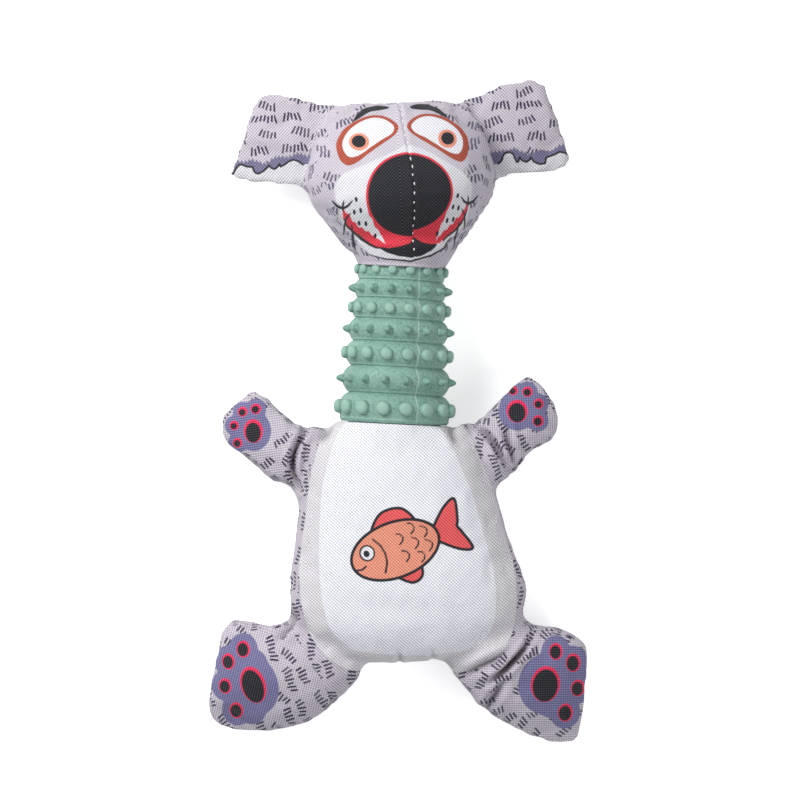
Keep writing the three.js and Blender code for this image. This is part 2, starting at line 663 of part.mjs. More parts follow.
// Each ear hinges on a line from a low to a high place on the side of the head
const rootLow = new THREE.Vector2(halfWidthAt(headStations, EAR_ROOT_LOW) + EAR_STANDOFF, EAR_ROOT_LOW);
const rootHigh = new THREE.Vector2(halfWidthAt(headStations, EAR_ROOT_HIGH) + EAR_STANDOFF, EAR_ROOT_HIGH);
const rootMiddle = rootLow.clone().add(rootHigh).multiplyScalar(0.5);
const rootLean = THREE.MathUtils.radToDeg(Math.atan2(rootLow.x - rootHigh.x, rootHigh.y - rootLow.y));
const rootHalf = rootLow.distanceTo(rootHigh) / 2;
const seamPlane = new THREE.Group();
seamPlane.position.z = FACE_SEAM;
head.add(seamPlane);
const earForm = {
  knuckle: EAR_KNUCKLE, rootHalfWidth: rootHalf, stations: earStations,
  foldFront: EAR_FOLD_FRONT, foldBack: EAR_FOLD_BACK, sides: EAR_SIDES, roundness: 2.8,
};
const ears = [
  {
    ...earForm, name: 'left_ear', slide: EAR_SLIDE, turn: 0,
    group: limbGroup('left_ear_hinge', seamPlane, -rootMiddle.x, rootMiddle.y, 180 - rootLean, EAR_DROOP_LEFT),
  },
  {
    ...earForm, name: 'right_ear', slide: -EAR_SLIDE, turn: -EAR_TURN_RIGHT,
    group: limbGroup('right_ear_hinge', seamPlane, rootMiddle.x, rootMiddle.y, rootLean, EAR_DROOP_RIGHT),
  },
];
for (const ear of ears) {
  place(ear.group, `${ear.name}_padding`, limbPieces(ear), FIBRE, 1);
}

toy.updateMatrixWorld(true);
const earSeats = ears.map((ear) => limbSeat(ear, head));

function headForm(inset, sides) {
  let solid = padded(uprightRows(headStations, BODY_ROWS, inset, 0), sides, 2.1);
  solid = solid.add(ball(HEAD_BALL - inset, origin));
  return solid.intersect(aboveSurface(head, inset));
}

const headWall = withSeats(headForm(0, BODY_SIDES).subtract(headForm(FABRIC, BODY_SIDES)), earSeats);
const face = headWall.intersect(frontHalf(FACE_SEAM));
place(head, 'face_left_panel', face.intersect(beyond('x', -GAP / 2, -1)), CANVAS, 0.9);
place(head, 'face_right_panel', face.intersect(beyond('x', GAP / 2, 1)), CANVAS, 0.9);
place(head, 'head_back_panel', headWall.intersect(backHalf(FACE_SEAM)), CANVAS, 0.9);
place(head, 'head_stuffing', withSeats(headForm(FABRIC + GAP, BODY_SIDES / 2), earSeats), FIBRE, 1);

export default toy;
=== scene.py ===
"""Looks of a squeaky plush dog toy, built on its CAD frame.
Lengths are in millimetres until a mesh is made."""

import json
import math

import bmesh
import bpy
import numpy as np
from bpy.props import FloatProperty, FloatVectorProperty, IntProperty, PointerProperty
from mathutils import Matrix, Vector
from mathutils.bvhtree import BVHTree


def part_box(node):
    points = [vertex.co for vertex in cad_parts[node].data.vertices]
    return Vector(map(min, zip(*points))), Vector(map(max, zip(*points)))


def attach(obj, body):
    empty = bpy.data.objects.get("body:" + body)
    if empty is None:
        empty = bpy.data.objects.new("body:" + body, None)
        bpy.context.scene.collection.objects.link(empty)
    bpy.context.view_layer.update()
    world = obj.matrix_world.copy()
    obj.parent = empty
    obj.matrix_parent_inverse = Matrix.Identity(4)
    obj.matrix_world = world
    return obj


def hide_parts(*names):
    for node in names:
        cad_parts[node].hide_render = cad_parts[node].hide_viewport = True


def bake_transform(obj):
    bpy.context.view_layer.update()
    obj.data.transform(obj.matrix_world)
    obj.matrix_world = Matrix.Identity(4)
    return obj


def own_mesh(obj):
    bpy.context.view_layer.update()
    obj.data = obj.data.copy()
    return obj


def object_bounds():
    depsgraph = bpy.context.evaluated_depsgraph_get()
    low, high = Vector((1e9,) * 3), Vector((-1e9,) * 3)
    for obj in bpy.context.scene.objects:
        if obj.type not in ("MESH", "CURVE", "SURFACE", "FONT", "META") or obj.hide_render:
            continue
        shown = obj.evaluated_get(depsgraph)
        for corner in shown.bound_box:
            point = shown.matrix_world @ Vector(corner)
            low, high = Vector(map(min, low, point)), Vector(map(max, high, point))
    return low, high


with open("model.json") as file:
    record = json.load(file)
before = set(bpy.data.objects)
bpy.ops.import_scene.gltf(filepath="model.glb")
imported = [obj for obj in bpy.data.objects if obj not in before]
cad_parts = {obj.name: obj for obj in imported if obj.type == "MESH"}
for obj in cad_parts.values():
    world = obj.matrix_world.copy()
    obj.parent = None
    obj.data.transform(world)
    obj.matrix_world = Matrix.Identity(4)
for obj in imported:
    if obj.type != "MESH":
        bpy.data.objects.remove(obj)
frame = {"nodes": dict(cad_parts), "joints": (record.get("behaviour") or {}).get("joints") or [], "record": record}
CAD_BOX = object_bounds()

bl_info = {
    "name": "Squeaky plush dog toy",
    "version": (1, 0, 0),
    "blender": (4, 5, 0),
    "location": "View3D > Sidebar > Toy",
    "description": "Sews, fills and finishes a plush dog toy with a rubber neck on its CAD frame",
    "category": "Object",
}

MM = 0.001
JOINTS = {joint["name"]: joint for joint in frame["joints"]}
BODY_OF = {node: body for body, nodes in frame["record"]["behaviour"]["bodies"].items() for node in nodes}
UP = np.array([0.0, 0.0, 1.0])

# Places that the frame gives
NECK_PIVOT = np.array(JOINTS["neck_sway"]["pos_m"]) / MM
HEAD_PIVOT = np.array(JOINTS["head_nod"]["pos_m"]) / MM
SEAM_HEIGHT = NECK_PIVOT[2]
NECK_ALONG = (HEAD_PIVOT - NECK_PIVOT) / np.linalg.norm(HEAD_PIVOT - NECK_PIVOT)
NECK_ACROSS = np.cross(NECK_ALONG, UP)


def head_axes():
    """The head's own across, along and front directions as it lies, from the hinges of its ears."""
    side = np.array(JOINTS["right_ear_fold"]["pos_m"]) - np.array(JOINTS["left_ear_fold"]["pos_m"])
    side /= np.linalg.norm(side)
    along = np.cross(UP, side)
    along /= np.linalg.norm(along)
    return np.stack([side, along, np.cross(side, along)])


HEAD_AXES = head_axes()


def linear(code):
    """An sRGB hex colour as linear red, green, blue and alpha."""
    parts = [int(code[i:i + 2], 16) / 255 for i in (1, 3, 5)]
    return tuple(c / 12.92 if c <= 0.04045 else ((c + 0.055) / 1.055) ** 2.4 for c in parts) + (1.0,)


def colour(name, description, code):
    return FloatVectorProperty(name=name, description=description, subtype="COLOR", size=4, min=0, max=1,
                               default=linear(code))


def length(name, description, size):
    """A length property, from a size in mm."""
    return FloatProperty(name=name, description=description, unit="LENGTH", min=0, default=size * MM)


class ToyCloth(bpy.types.PropertyGroup):
    fur: colour("Fur", "Ground colour of the printed canvas", "#c2b9c5")
    faded: colour("Faded fur", "Where the ground colour is thinner", "#d2cbd5")
    tick: colour("Ticks", "Short printed hair strokes", "#2b2147")
    face_tick: colour("Face ticks", "Fainter hair strokes of the face", "#4d4664")
    border: colour("Belly border", "Band round the belly patch", "#e1dee2")
    belly: colour("Belly", "White of the belly patch", "#f3f3fa")
    muzzle: colour("Muzzle", "Pale cheeks round the nose", "#e6e5ea")
    ink: colour("Ink", "Near-black of pads, nose and lines", "#222329")
    paw: colour("Paw patch", "Purple of the paws", "#7b78a2")
    band: colour("Ear band", "Greyer purple band above each ear's hem", "#787291")
    hem: colour("Ear hem", "Pale grey of the ear tips", "#dbdadf")
    ring: colour("Pad ring", "Pink-red ring of each pad", "#f2305f")
    lip: colour("Lip", "Red of the nose rim and lips", "#e43a4b")
    rust: colour("Eye rim", "Brown-red rim of the eyes", "#b2503c")
    salmon: colour("Salmon", "Irises and the fish", "#f09a80")
    coral: colour("Coral", "Fins of the fish", "#ee5c5f")
    white: colour("White", "White of the eyes", "#f1f0f6")
    weave: length("Weave", "Two threads of the canvas", 1.65)
    tuft_pitch: length("Tuft pitch", "Between tufts of ticks along a row", 16.0)
    row_pitch: length("Row pitch", "Between rows of tufts", 8.0)
    stroke_gap: length("Stroke gap", "Between the ticks of a tuft", 1.9)
    filling: FloatProperty(name="Filling", description="How tightly the covers are filled", subtype="FACTOR",
                           min=0, max=1, default=0.85)


class ToyRubber(bpy.types.PropertyGroup):
    colour: colour("Rubber", "Sage green of the moulded neck", "#6e9589")
    # Lighter rubber of the studs and beads, also used for painted light on the stud tips
    pale: colour("Pale rubber", "Smooth studs and beads of the neck", "#94b9aa")
    flash: colour("Flash", "Thin line left by the mould's joint", "#c3dcd1")
    ribs: IntProperty(name="Ribs", description="Ribs along the neck", min=1, default=7)
    studs: IntProperty(name="Studs", description="Studs round each rib", min=3, default=16)
    crest_foot: length("Foot crest", "Radius over the first rib", 28.0)
    crest_head: length("Head crest", "Radius over the last rib", 22.1)
    groove_foot: length("Foot groove", "Radius in the first groove", 23.2)
    groove_head: length("Head groove", "Radius at the head rim", 20.0)


class ToyStage(bpy.types.PropertyGroup):
    view_width: length("View width", "Width of the picture at the toy", 400.0)
    distance: length("Camera height", "Camera over the table", 2000.0)
    view_turn: FloatProperty(name="View turn", description="Turn of the picture", unit="ROTATION",
                             default=math.radians(-3.1))


def node_reach(node):
    """Lowest and highest place of a node along the neck."""
    place = (points_of(frame["nodes"][node].data) - NECK_PIVOT) @ NECK_ALONG
    return place.min(), place.max()


# Mesh tools


def link(name, mesh):
    obj = bpy.data.objects.new(name, mesh)
    bpy.context.scene.collection.objects.link(obj)
    return obj


def mesh_of(name, points, faces):
    mesh = bpy.data.meshes.new(name)
    mesh.from_pydata((np.asarray(points) * MM).tolist(), [], faces)
    mesh.validate()
    return mesh


def read(items, key, width=1, kind=float):
    """One value of every item, in rows of width numbers."""
    values = np.zeros(len(items) * width, kind)
    items.foreach_get(key, values)
    return values.reshape(-1, width) if width > 1 else values


def points_of(mesh):
    return read(mesh.vertices, "co", 3) / MM


def normals_of(mesh):
    return read(mesh.vertices, "normal", 3)


def edges_of(mesh):
    return read(mesh.edges, "vertices", 2, np.int64)


def put_points(mesh, points):
    mesh.vertices.foreach_set("co", (points * MM).ravel())
    mesh.update()


def keep_values(mesh, name, values):
    """Stores a number or a vector for each vertex, for the materials and the cut covers to read."""
    vector = values.ndim == 2
    made = mesh.attributes.new(name, "FLOAT_VECTOR" if vector else "FLOAT", "POINT")
    made.data.foreach_set("vector" if vector else "value", values.astype(np.float32).ravel())


def apply_modifiers(obj):
    graph = bpy.context.evaluated_depsgraph_get()
    mesh = bpy.data.meshes.new_from_object(obj.evaluated_get(graph))
    obj.modifiers.clear()
    old = obj.data
    obj.data = mesh
    bpy.data.meshes.remove(old)


def smooth_faces(mesh):
    mesh.polygons.foreach_set("use_smooth", np.ones(len(mesh.polygons), bool))
    mesh.update()


def smoothstep(low, high, value):
    t = np.clip((value - low) / (high - low), 0, 1)
    return t * t * (3 - 2 * t)


def lumps(points, size, seed):
    """Slow random swells between about -1 and 1, from a few sine waves."""
    draw = np.random.default_rng(seed)
    total = np.zeros(len(points))
    for _ in range(9):
        way = draw.normal(size=3)
        way *= 2 * math.pi / (size * draw.uniform(0.7, 1.5) * np.linalg.norm(way))
        total += np.sin(points @ way + draw.uniform(0, 6.3))
    return total / 4.0


def outer_shell(mesh):
    """Keeps only the largest connected skin."""
    made = bmesh.new()
    made.from_mesh(mesh)
    left = set(made.verts)
    shells = []
    while left:
        reach = [left.pop()]
        shell = []
        while reach:
            vert = reach.pop()
            shell.append(vert)
            for edge in vert.link_edges:
                other = edge.other_vert(vert)
                if other in left:
                    left.discard(other)
                    reach.append(other)
        shells.append(shell)
    shells.sort(key=len)
    for shell in shells[:-1]:
        bmesh.ops.delete(made, geom=shell, context="VERTS")
    made.to_mesh(mesh)
    made.free()


def skin_round(name, nodes, plugs, voxel):
    """One closed skin round several CAD solids. Each plug is a ball that bridges a joint's clearance."""
    made = bmesh.new()
    for node in nodes:
        made.from_mesh(frame["nodes"][node].data)
    for centre, axes, radii in plugs:
        shape = Matrix.Identity(4)
        for column in range(3):
            for row in range(3):
                shape[row][column] = axes[column][row] * radii[column] * MM
        shape.translation = Vector(centre * MM)
        bmesh.ops.create_icosphere(made, subdivisions=3, radius=1.0, matrix=shape)
    mesh = bpy.data.meshes.new(name)
    made.to_mesh(mesh)
    made.free()
    obj = link(name, mesh)
    remesh = obj.modifiers.new("skin", "REMESH")
    remesh.mode = "VOXEL"
    remesh.voxel_size = voxel * MM
    apply_modifiers(obj)
    outer_shell(obj.data)
    return obj


def neighbour_mean(mesh):
    """A function that averages rows of numbers over the neighbours of each vertex."""
    edges = edges_of(mesh)
    counts = np.bincount(edges.ravel(), minlength=len(mesh.vertices))[:, None]

    def mean(values):
        total = np.zeros_like(values)
        for axis in range(values.shape[1]):
            for here, there in (edges.T, edges.T[::-1]):
                total[:, axis] += np.bincount(here, values[there, axis], len(values))
        return total / counts

    return mean


def even_out(mesh, values, rounds=40):
    """Averages the numbers of the vertices with those of their neighbours."""
    mean = neighbour_mean(mesh)
    values = values[:, None]
    for _ in range(rounds):
        values = mean(values)
    return values[:, 0]


# What undoes the shrinking of a smoothed skin: shares of its shapes, of its own step and of the steps around
FIRST_SHAPE, LAST_SHAPE = 0.05, 0.95
OWN_STEP, STEPS_AROUND = 0.55, 0.45


def ease(mesh, rounds):
    """Smooths facets away while keeping the volume."""
    mean = neighbour_mean(mesh)
    start = points = points_of(mesh)
    for _ in range(rounds):
        moved = mean(points)
        back = moved - (FIRST_SHAPE * start + LAST_SHAPE * points)
        points = moved - (OWN_STEP * back + STEPS_AROUND * mean(back))
    put_points(mesh, points)


# The canvas as cloth: blown up a little from inside, and cut 2% larger than the skin
CLOTH_RULES = {
    "quality": 5, "mass": 0.1, "tension_stiffness": 12, "compression_stiffness": 12, "shear_stiffness": 5,
    "bending_stiffness": 0.3, "use_pressure": True, "uniform_pressure_force": 4, "shrink_min": -0.02,
    "vertex_group_mass": "seam",
}
FILL_STEPS = 20


def fill_with_fibre(obj, held, cap):
    """Lets the cover swell round its filling as cloth, held along its seams, by no more than cap."""
    start = points_of(obj.data)
    obj.vertex_groups.new(name="seam").add(np.flatnonzero(held).tolist(), 1.0, "REPLACE")
    cloth = obj.modifiers.new("filled", "CLOTH")
    for key, value in CLOTH_RULES.items():
        setattr(cloth.settings, key, value)
    cloth.settings.effector_weights.gravity = 0
    cloth.point_cache.frame_start = 1
    cloth.point_cache.frame_end = FILL_STEPS
    scene = bpy.context.scene
    for step in range(1, FILL_STEPS + 1):
        scene.frame_set(step)
    graph = bpy.context.evaluated_depsgraph_get()
    step = points_of(obj.evaluated_get(graph).data) - start
    obj.modifiers.clear()
    obj.vertex_groups.clear()
    scene.frame_set(1)
    size = np.linalg.norm(step, axis=1)[:, None]
    if not np.isfinite(size).all():
        raise RuntimeError(f"{obj.name}: the filling didn't settle")
    put_points(obj.data, start + step * np.minimum(1, cap / np.maximum(size, 1e-9)))


def refine(obj, levels):
    smoother = obj.modifiers.new("smooth", "SUBSURF")
    smoother.levels = levels
    apply_modifiers(obj)


# Shapes of the print and of the creases, as distances in mm that are below zero inside


def rounded(corners, steps=8):
    """A closed smooth outline through the corners."""
    corners = np.asarray(corners, float)
    out = []
    for i in range(len(corners)):
        a, b, c, d = (corners[(i + k) % len(corners)] for k in (-1, 0, 1, 2))
        for k in range(steps):
            t = k / steps
            bend = (2 * a - 5 * b + 4 * c - d) * t**2 + (3 * b - a - 3 * c + d) * t**3
            out.append(0.5 * (2 * b + (c - a) * t + bend))
    return np.array(out)


def to_path(places, path):
    """Distance from places to an open path, and how far along it the nearest point is, from 0 to 1."""
    path = np.asarray(path, float)
    lengths = np.linalg.norm(np.diff(path, axis=0), axis=1)
    before = np.concatenate([[0], np.cumsum(lengths)])
    best = np.full(len(places), 1e9)
    share = np.zeros(len(places))
    for i, (a, b) in enumerate(zip(path[:-1], path[1:])):
        t = np.clip(((places - a) @ (b - a)) / max(lengths[i] ** 2, 1e-12), 0, 1)
        gap = np.linalg.norm(places - a - t[:, None] * (b - a), axis=1)
        nearer = gap < best
        best[nearer] = gap[nearer]
        share[nearer] = (before[i] + t[nearer] * lengths[i]) / before[-1]
    return best, share


def outline(places, corners):
    """Signed distance to a closed outline."""
    ring = np.asarray(corners, float)
    gap, _ = to_path(places, np.vstack([ring, ring[:1]]))
    inside = np.zeros(len(places), bool)
    for a, b in zip(ring, np.roll(ring, -1, axis=0)):
        if a[1] == b[1]:
            continue
        spans = (a[1] > places[:, 1]) != (b[1] > places[:, 1])
        cross = (b[0] - a[0]) * (places[:, 1] - a[1]) / (b[1] - a[1]) + a[0]
        inside ^= spans & (places[:, 0] < cross)
    return np.where(inside, -gap, gap)


def turned_places(places, centre, turn):
    """Places from a centre, in directions turned by some degrees."""
    c, s = math.cos(math.radians(turn)), math.sin(math.radians(turn))
    offset = places - np.asarray(centre, float)
    return np.stack([offset[:, 0] * c + offset[:, 1] * s, offset[:, 1] * c - offset[:, 0] * s], axis=1)


def oval(places, centre, radii, turn=0.0):
    local = turned_places(places, centre, turn)
    near = np.linalg.norm(local / radii, axis=1)
    steep = np.linalg.norm(local / np.square(radii), axis=1)
    return near * (near - 1) / np.maximum(steep, 1e-6)


def joined(*distances):
    return np.minimum.reduce(distances)


def melted(distances, soft):
    """Joins shapes with a soft web between them."""
    total = sum(np.exp(-np.clip(d / soft, -30, 30)) for d in distances)
    return -soft * np.log(np.maximum(total, 1e-30))


def stroke(places, path, width):
    """A pen stroke that thins to about a third towards both ends."""
    gap, share = to_path(places, path)
    return gap - width * (0.35 + 0.65 * np.sin(np.pi * np.clip(share, 0.02, 0.98)) ** 0.6)


# Materials


def feed(tree, node, links):
    """Sets what a node's inputs take: a value, a socket, or the first output of another node."""
    for key, value in links.items():
        if isinstance(value, bpy.types.Node):
            value = next(socket for socket in value.outputs if socket.enabled)
        if isinstance(value, bpy.types.NodeSocket):
            tree.links.new(value, node.inputs[key])
        else:
            node.inputs[key].default_value = value


def add(tree, kind, links=None, **settings):
    """Adds one node, with its settings, and what its inputs take."""
    made = tree.nodes.new("ShaderNode" + kind)
    for key, value in settings.items():
        setattr(made, key, value)
    feed(tree, made, links or {})
    return made


def start_material(name):
    material = bpy.data.materials.new(name)
    material.use_nodes = True
    return material, material.node_tree, material.node_tree.nodes["Principled BSDF"]


# Hair strokes in tufts, for the body and for the face: how far tufts lie off their grid, the least strokes
# on each side of a tuft's middle, and what chance adds to them
TUFT_SCATTER = (0.5, 0.8)
LEAST_STROKES = (2.0, 1.15)
MORE_STROKES = 1.6
# Leans in radians of a tuft and of a stroke, and how much more each next stroke leans out
TUFT_LEAN = 0.35
STROKE_LEAN = 0.15
STROKE_FAN = 0.1
# In mm: half widths of a stroke's ink and of its soft edge, its rise or fall, its half length with what
# chance adds, and how far inside and outside its end the ink fades
STROKE_INK, STROKE_EDGE = 0.38, 0.64
STROKE_RISE = 0.6
STROKE_HALF, STROKE_LONGER = 1.55, 0.8
STROKE_FULL, STROKE_END = -0.2, 0.12
# Sets the chances of two tufts far apart
SEED_STEP = 91.0


def tick_marks(tree, dye, rules, face):
    """Rows of tufts, each a fan of short strokes of their own lengths and leans. The face has fewer."""
    gap = rules.stroke_gap / MM
    pitch = (rules.tuft_pitch / MM, rules.row_pitch / MM, 1.0)
    grid = add(tree, "VectorMath", {0: dye, 1: pitch}, operation="DIVIDE")
    tufts = add(tree, "TexVoronoi", {"Vector": grid, "Scale": 1.0, "Randomness": TUFT_SCATTER[face]},
                voronoi_dimensions="2D")
    tuft_draw = add(tree, "SeparateColor", {0: tufts.outputs["Color"]}).outputs
    centre = add(tree, "VectorMath", {0: tufts.outputs["Position"], 1: pitch}, operation="MULTIPLY")
    local = add(tree, "VectorMath", {0: dye, 1: centre}, operation="SUBTRACT")
    lean = add(tree, "Math", {0: tuft_draw[0], 1: 2 * TUFT_LEAN, 2: -TUFT_LEAN}, operation="MULTIPLY_ADD")
    turned = add(tree, "VectorRotate", {"Vector": local, "Angle": lean}, rotation_type="Z_AXIS")
    place = add(tree, "SeparateXYZ", {0: turned}).outputs
    column = add(tree, "Math", {0: place[0], 1: gap}, operation="DIVIDE")
    number = add(tree, "Math", {0: column}, operation="ROUND")
    seed = add(tree, "Math", {0: tuft_draw[1], 1: SEED_STEP, 2: number}, operation="MULTIPLY_ADD")
    chance = add(tree, "TexWhiteNoise", {"W": seed}, noise_dimensions="1D")
    draw = add(tree, "SeparateColor", {0: chance.outputs["Color"]}).outputs
    tilt = add(tree, "Math", {0: draw[0], 1: 2 * STROKE_LEAN, 2: -STROKE_LEAN}, operation="MULTIPLY_ADD")
    slope = add(tree, "Math", {0: number, 1: STROKE_FAN, 2: tilt}, operation="MULTIPLY_ADD")
    middle = add(tree, "Math", {0: number, 1: -gap, 2: place[0]}, operation="MULTIPLY_ADD")
    across = add(tree, "Math", {0: place[1], 1: slope, 2: middle}, operation="MULTIPLY_ADD")
    wide = add(tree, "Math", {0: across}, operation="ABSOLUTE")
    thick = add(tree, "MapRange", {"Value": wide, 1: STROKE_EDGE, 2: STROKE_INK, 3: 0.0, 4: 1.0})
    rise = add(tree, "Math", {0: draw[1], 1: 2 * STROKE_RISE, 2: -STROKE_RISE}, operation="MULTIPLY_ADD")
    along = add(tree, "Math", {0: place[1], 1: rise}, operation="SUBTRACT")
    high = add(tree, "Math", {0: along}, operation="ABSOLUTE")
    half = add(tree, "Math", {0: draw[2], 1: STROKE_LONGER, 2: STROKE_HALF}, operation="MULTIPLY_ADD")
    over = add(tree, "Math", {0: high, 1: half}, operation="SUBTRACT")
    ends = add(tree, "MapRange", {"Value": over, 1: STROKE_END, 2: STROKE_FULL, 3: 0.0, 4: 1.0})
    reach = add(tree, "Math", {0: tuft_draw[2], 1: MORE_STROKES, 2: LEAST_STROKES[face]},
                operation="MULTIPLY_ADD")
    from_middle = add(tree, "Math", {0: number}, operation="ABSOLUTE")
    within = add(tree, "Math", {0: from_middle, 1: reach}, operation="LESS_THAN")
    shape = add(tree, "Math", {0: thick, 1: ends}, operation="MULTIPLY")
    return add(tree, "Math", {0: shape, 1: within}, operation="MULTIPLY")


# The weave's two sets of threads, how far its colour is painted darker in the gaps and lighter on the crowns
# (painted shade and painted light) on body and face, the painted highlight on its crowns, and its relief in mm
WARP_SHARE, WEFT_SHARE = 0.65, 0.35
THREAD_SHADE_AND_LIGHT = ((0.54, 1.24), (0.68, 1.14))
THREAD_GLEAM = 0.045
THREAD_DEPTH = 0.18
# Size in mm of the faded clouds in the dye
DYE_CLOUD = 9.0
# Colour of the painted shade in the folds of the cloth
FOLD_SHADE = "#43373b"


def canvas(name, rules, layers, face=False):
    """Plain-woven polyester canvas with a dye print: matt, with a thread grid drawn in as painted shade in its
    gaps, painted light on its crowns and a faint painted highlight on them.
    The real thread pair is 1.2 mm and is drawn a little coarser, so that it shows."""
    material, tree, shader = start_material(name)
    dye = add(tree, "UVMap", uv_map="print")
    phase = add(tree, "VectorMath", {0: dye, "Scale": 2 * math.pi * MM / rules.weave}, operation="SCALE")
    warp, weft = add(tree, "SeparateXYZ", {0: phase}).outputs[:2]
    both = add(tree, "Math", {0: warp, 1: weft}, operation="ADD")
    apart = add(tree, "Math", {0: warp, 1: weft}, operation="SUBTRACT")
    rows = add(tree, "Math", {0: both}, operation="COSINE")
    cross_rows = add(tree, "Math", {0: apart}, operation="COSINE")
    weaker = add(tree, "Math", {0: cross_rows, 1: -WEFT_SHARE}, operation="MULTIPLY")
    weave = add(tree, "Math", {0: rows, 1: WARP_SHARE, 2: weaker}, operation="MULTIPLY_ADD")
    shade = add(tree, "TexNoise", {"Vector": dye, "Scale": 1 / DYE_CLOUD, "Detail": 3.0})
    ground = add(tree, "Mix", {"Factor": shade, 6: rules.fur, 7: rules.faded}, data_type="RGBA")
    ticks = tick_marks(tree, dye, rules, face)
    worn = add(tree, "MapRange", {"Value": shade, 1: 0.35, 2: 0.65, 3: 1.0, 4: 0.8})
    printed = add(tree, "Math", {0: ticks, 1: worn}, operation="MULTIPLY")
    tick = rules.face_tick if face else rules.tick
    mixed = add(tree, "Mix", {"Factor": printed, 6: ground, 7: tick}, data_type="RGBA")
    for key, ink, soft in layers:
        edge = add(tree, "Attribute", attribute_name=key).outputs["Fac"]
        cover = add(tree, "MapRange", {"Value": edge, 1: soft, 2: -soft, 3: 0.0, 4: 1.0})
        mixed = add(tree, "Mix", {"Factor": cover, 6: mixed, 7: ink}, data_type="RGBA")
    # Painted shade between the threads, and painted light and a painted highlight on their crowns
    painted_shade, light = THREAD_SHADE_AND_LIGHT[face]
    thread_light_and_shade = add(tree, "MapRange", {"Value": weave, 1: -1.0, 2: 1.0, 3: painted_shade, 4: light})
    gleam = add(tree, "MapRange", {"Value": weave, 1: 0.0, 2: 0.9, 3: 0.0, 4: THREAD_GLEAM})
    lit = add(tree, "VectorMath", {0: mixed, 1: thread_light_and_shade, 2: gleam}, operation="MULTIPLY_ADD")
    # Painted shade in the folds of the cloth, from the fold attribute
    fold = add(tree, "Attribute", attribute_name="fold").outputs["Fac"]
    fold_shaded = add(tree, "Mix", {"Factor": fold, 6: lit, 7: linear(FOLD_SHADE)}, data_type="RGBA")
    relief = add(tree, "Bump", {"Height": weave, "Strength": 0.8, "Distance": THREAD_DEPTH * MM})
    feed(tree, shader, {"Base Color": fold_shaded, "Normal": relief, "Roughness": 0.82, "Specular IOR Level": 0.25,
                        "Sheen Weight": 0.05, "Sheen Roughness": 0.5})
    return material


# Sizes in mm of the rubber's clouds and pebbles, the pebbles' depth, and the half width of the flash line
RUBBER_CLOUD = 14.0
PEBBLE = 1.0
PEBBLE_DEPTH = 0.35
FLASH_LINE, FLASH_EDGE = 0.15, 0.42


def moulded_rubber(rules):
    """Compression-moulded natural rubber: matt, pebbled like leather by the mould, with smooth studs drawn lighter
    towards their tips as painted light and with painted shade at their feet, and spikes given painted shade.
    The pebbles are drawn at about 1 mm, a little coarser than they are, so that they show."""
    material, tree, shader = start_material("moulded_rubber")
    where = add(tree, "Attribute", attribute_name="rest").outputs["Vector"]
    cloud = add(tree, "TexNoise", {"Vector": where, "Scale": 1 / RUBBER_CLOUD, "Detail": 2.0})
    grain = add(tree, "TexVoronoi", {"Vector": where, "Scale": 1 / PEBBLE}, feature="SMOOTH_F1")
    # The stud attribute: lighter on smooth studs and beads, with painted light towards the studs' tips, painted
    # shade at their feet and on the spikes
    stud = add(tree, "Attribute", attribute_name="stud").outputs["Fac"]
    bare = add(tree, "Math", {0: 1.0, 1: stud}, operation="SUBTRACT")
    clouds = add(tree, "MapRange", {"Value": cloud, 1: 0.3, 2: 0.7, 3: 0.0, 4: 0.3})
    speck = add(tree, "MapRange", {"Value": grain, 1: 0.1, 2: 0.75, 3: 0.75, 4: -0.15})
    tops = add(tree, "Math", {0: stud, 1: 0.75, 2: clouds}, operation="MULTIPLY_ADD")
    shown = add(tree, "Math", {0: speck, 1: bare, 2: tops}, operation="MULTIPLY_ADD", use_clamp=True)
    mixed = add(tree, "Mix", {"Factor": shown, 6: rules.colour, 7: rules.pale}, data_type="RGBA")
    flash = add(tree, "Attribute", attribute_name="flash").outputs["Fac"]
    off = add(tree, "Math", {0: flash}, operation="ABSOLUTE")
    line = add(tree, "MapRange", {"Value": off, 1: FLASH_EDGE, 2: FLASH_LINE, 3: 0.0, 4: 0.6})
    final = add(tree, "Mix", {"Factor": line, 6: mixed, 7: rules.flash}, data_type="RGBA")
    pebbles = add(tree, "Math", {0: grain, 1: bare}, operation="MULTIPLY")
    relief = add(tree, "Bump", {"Height": pebbles, "Strength": 0.7, "Distance": -PEBBLE_DEPTH * MM})
    feed(tree, shader, {"Base Color": final, "Normal": relief, "Roughness": 0.6, "Specular IOR Level": 0.35})
    return material


def fibre_fill():
    """Carded polyester fibre: a white, cloudy mat of fine hairs, drawn as clouds of 2.5 mm."""
    material, tree, shader = start_material("carded_polyester_fibre")
    where = add(tree, "TexCoord").outputs["Object"]
    hairs = add(tree, "TexNoise", {"Vector": where, "Scale": 400.0, "Detail": 6.0, "Distortion": 2.0})
    tone = add(tree, "Mix", {"Factor": hairs, 6: linear("#e4e2dc"), 7: linear("#fbfaf6")}, data_type="RGBA")
    relief = add(tree, "Bump", {"Height": hairs, "Strength": 0.8, "Distance": 0.8 * MM})
    feed(tree, shader, {"Base Color": tone, "Normal": relief, "Roughness": 0.95, "Sheen Weight": 0.4})
    return material


def moulded_plastic(name, code):
    """Injection-moulded polyethylene: waxy, with a soft shine and an unevenness of about 1 mm."""
    material, tree, shader = start_material(name)
    where = add(tree, "TexCoord").outputs["Object"]
    skin = add(tree, "TexNoise", {"Vector": where, "Scale": 900.0, "Detail": 2.0})
    shade = add(tree, "HueSaturation", {"Color": linear(code)})
    feed(tree, shade, {"Value": add(tree, "MapRange", {"Value": skin, 3: 0.93, 4: 1.04})})
    relief = add(tree, "Bump", {"Height": skin, "Strength": 0.15, "Distance": 0.1 * MM})
    feed(tree, shader, {"Base Color": shade, "Normal": relief, "Roughness": 0.42})
    return material


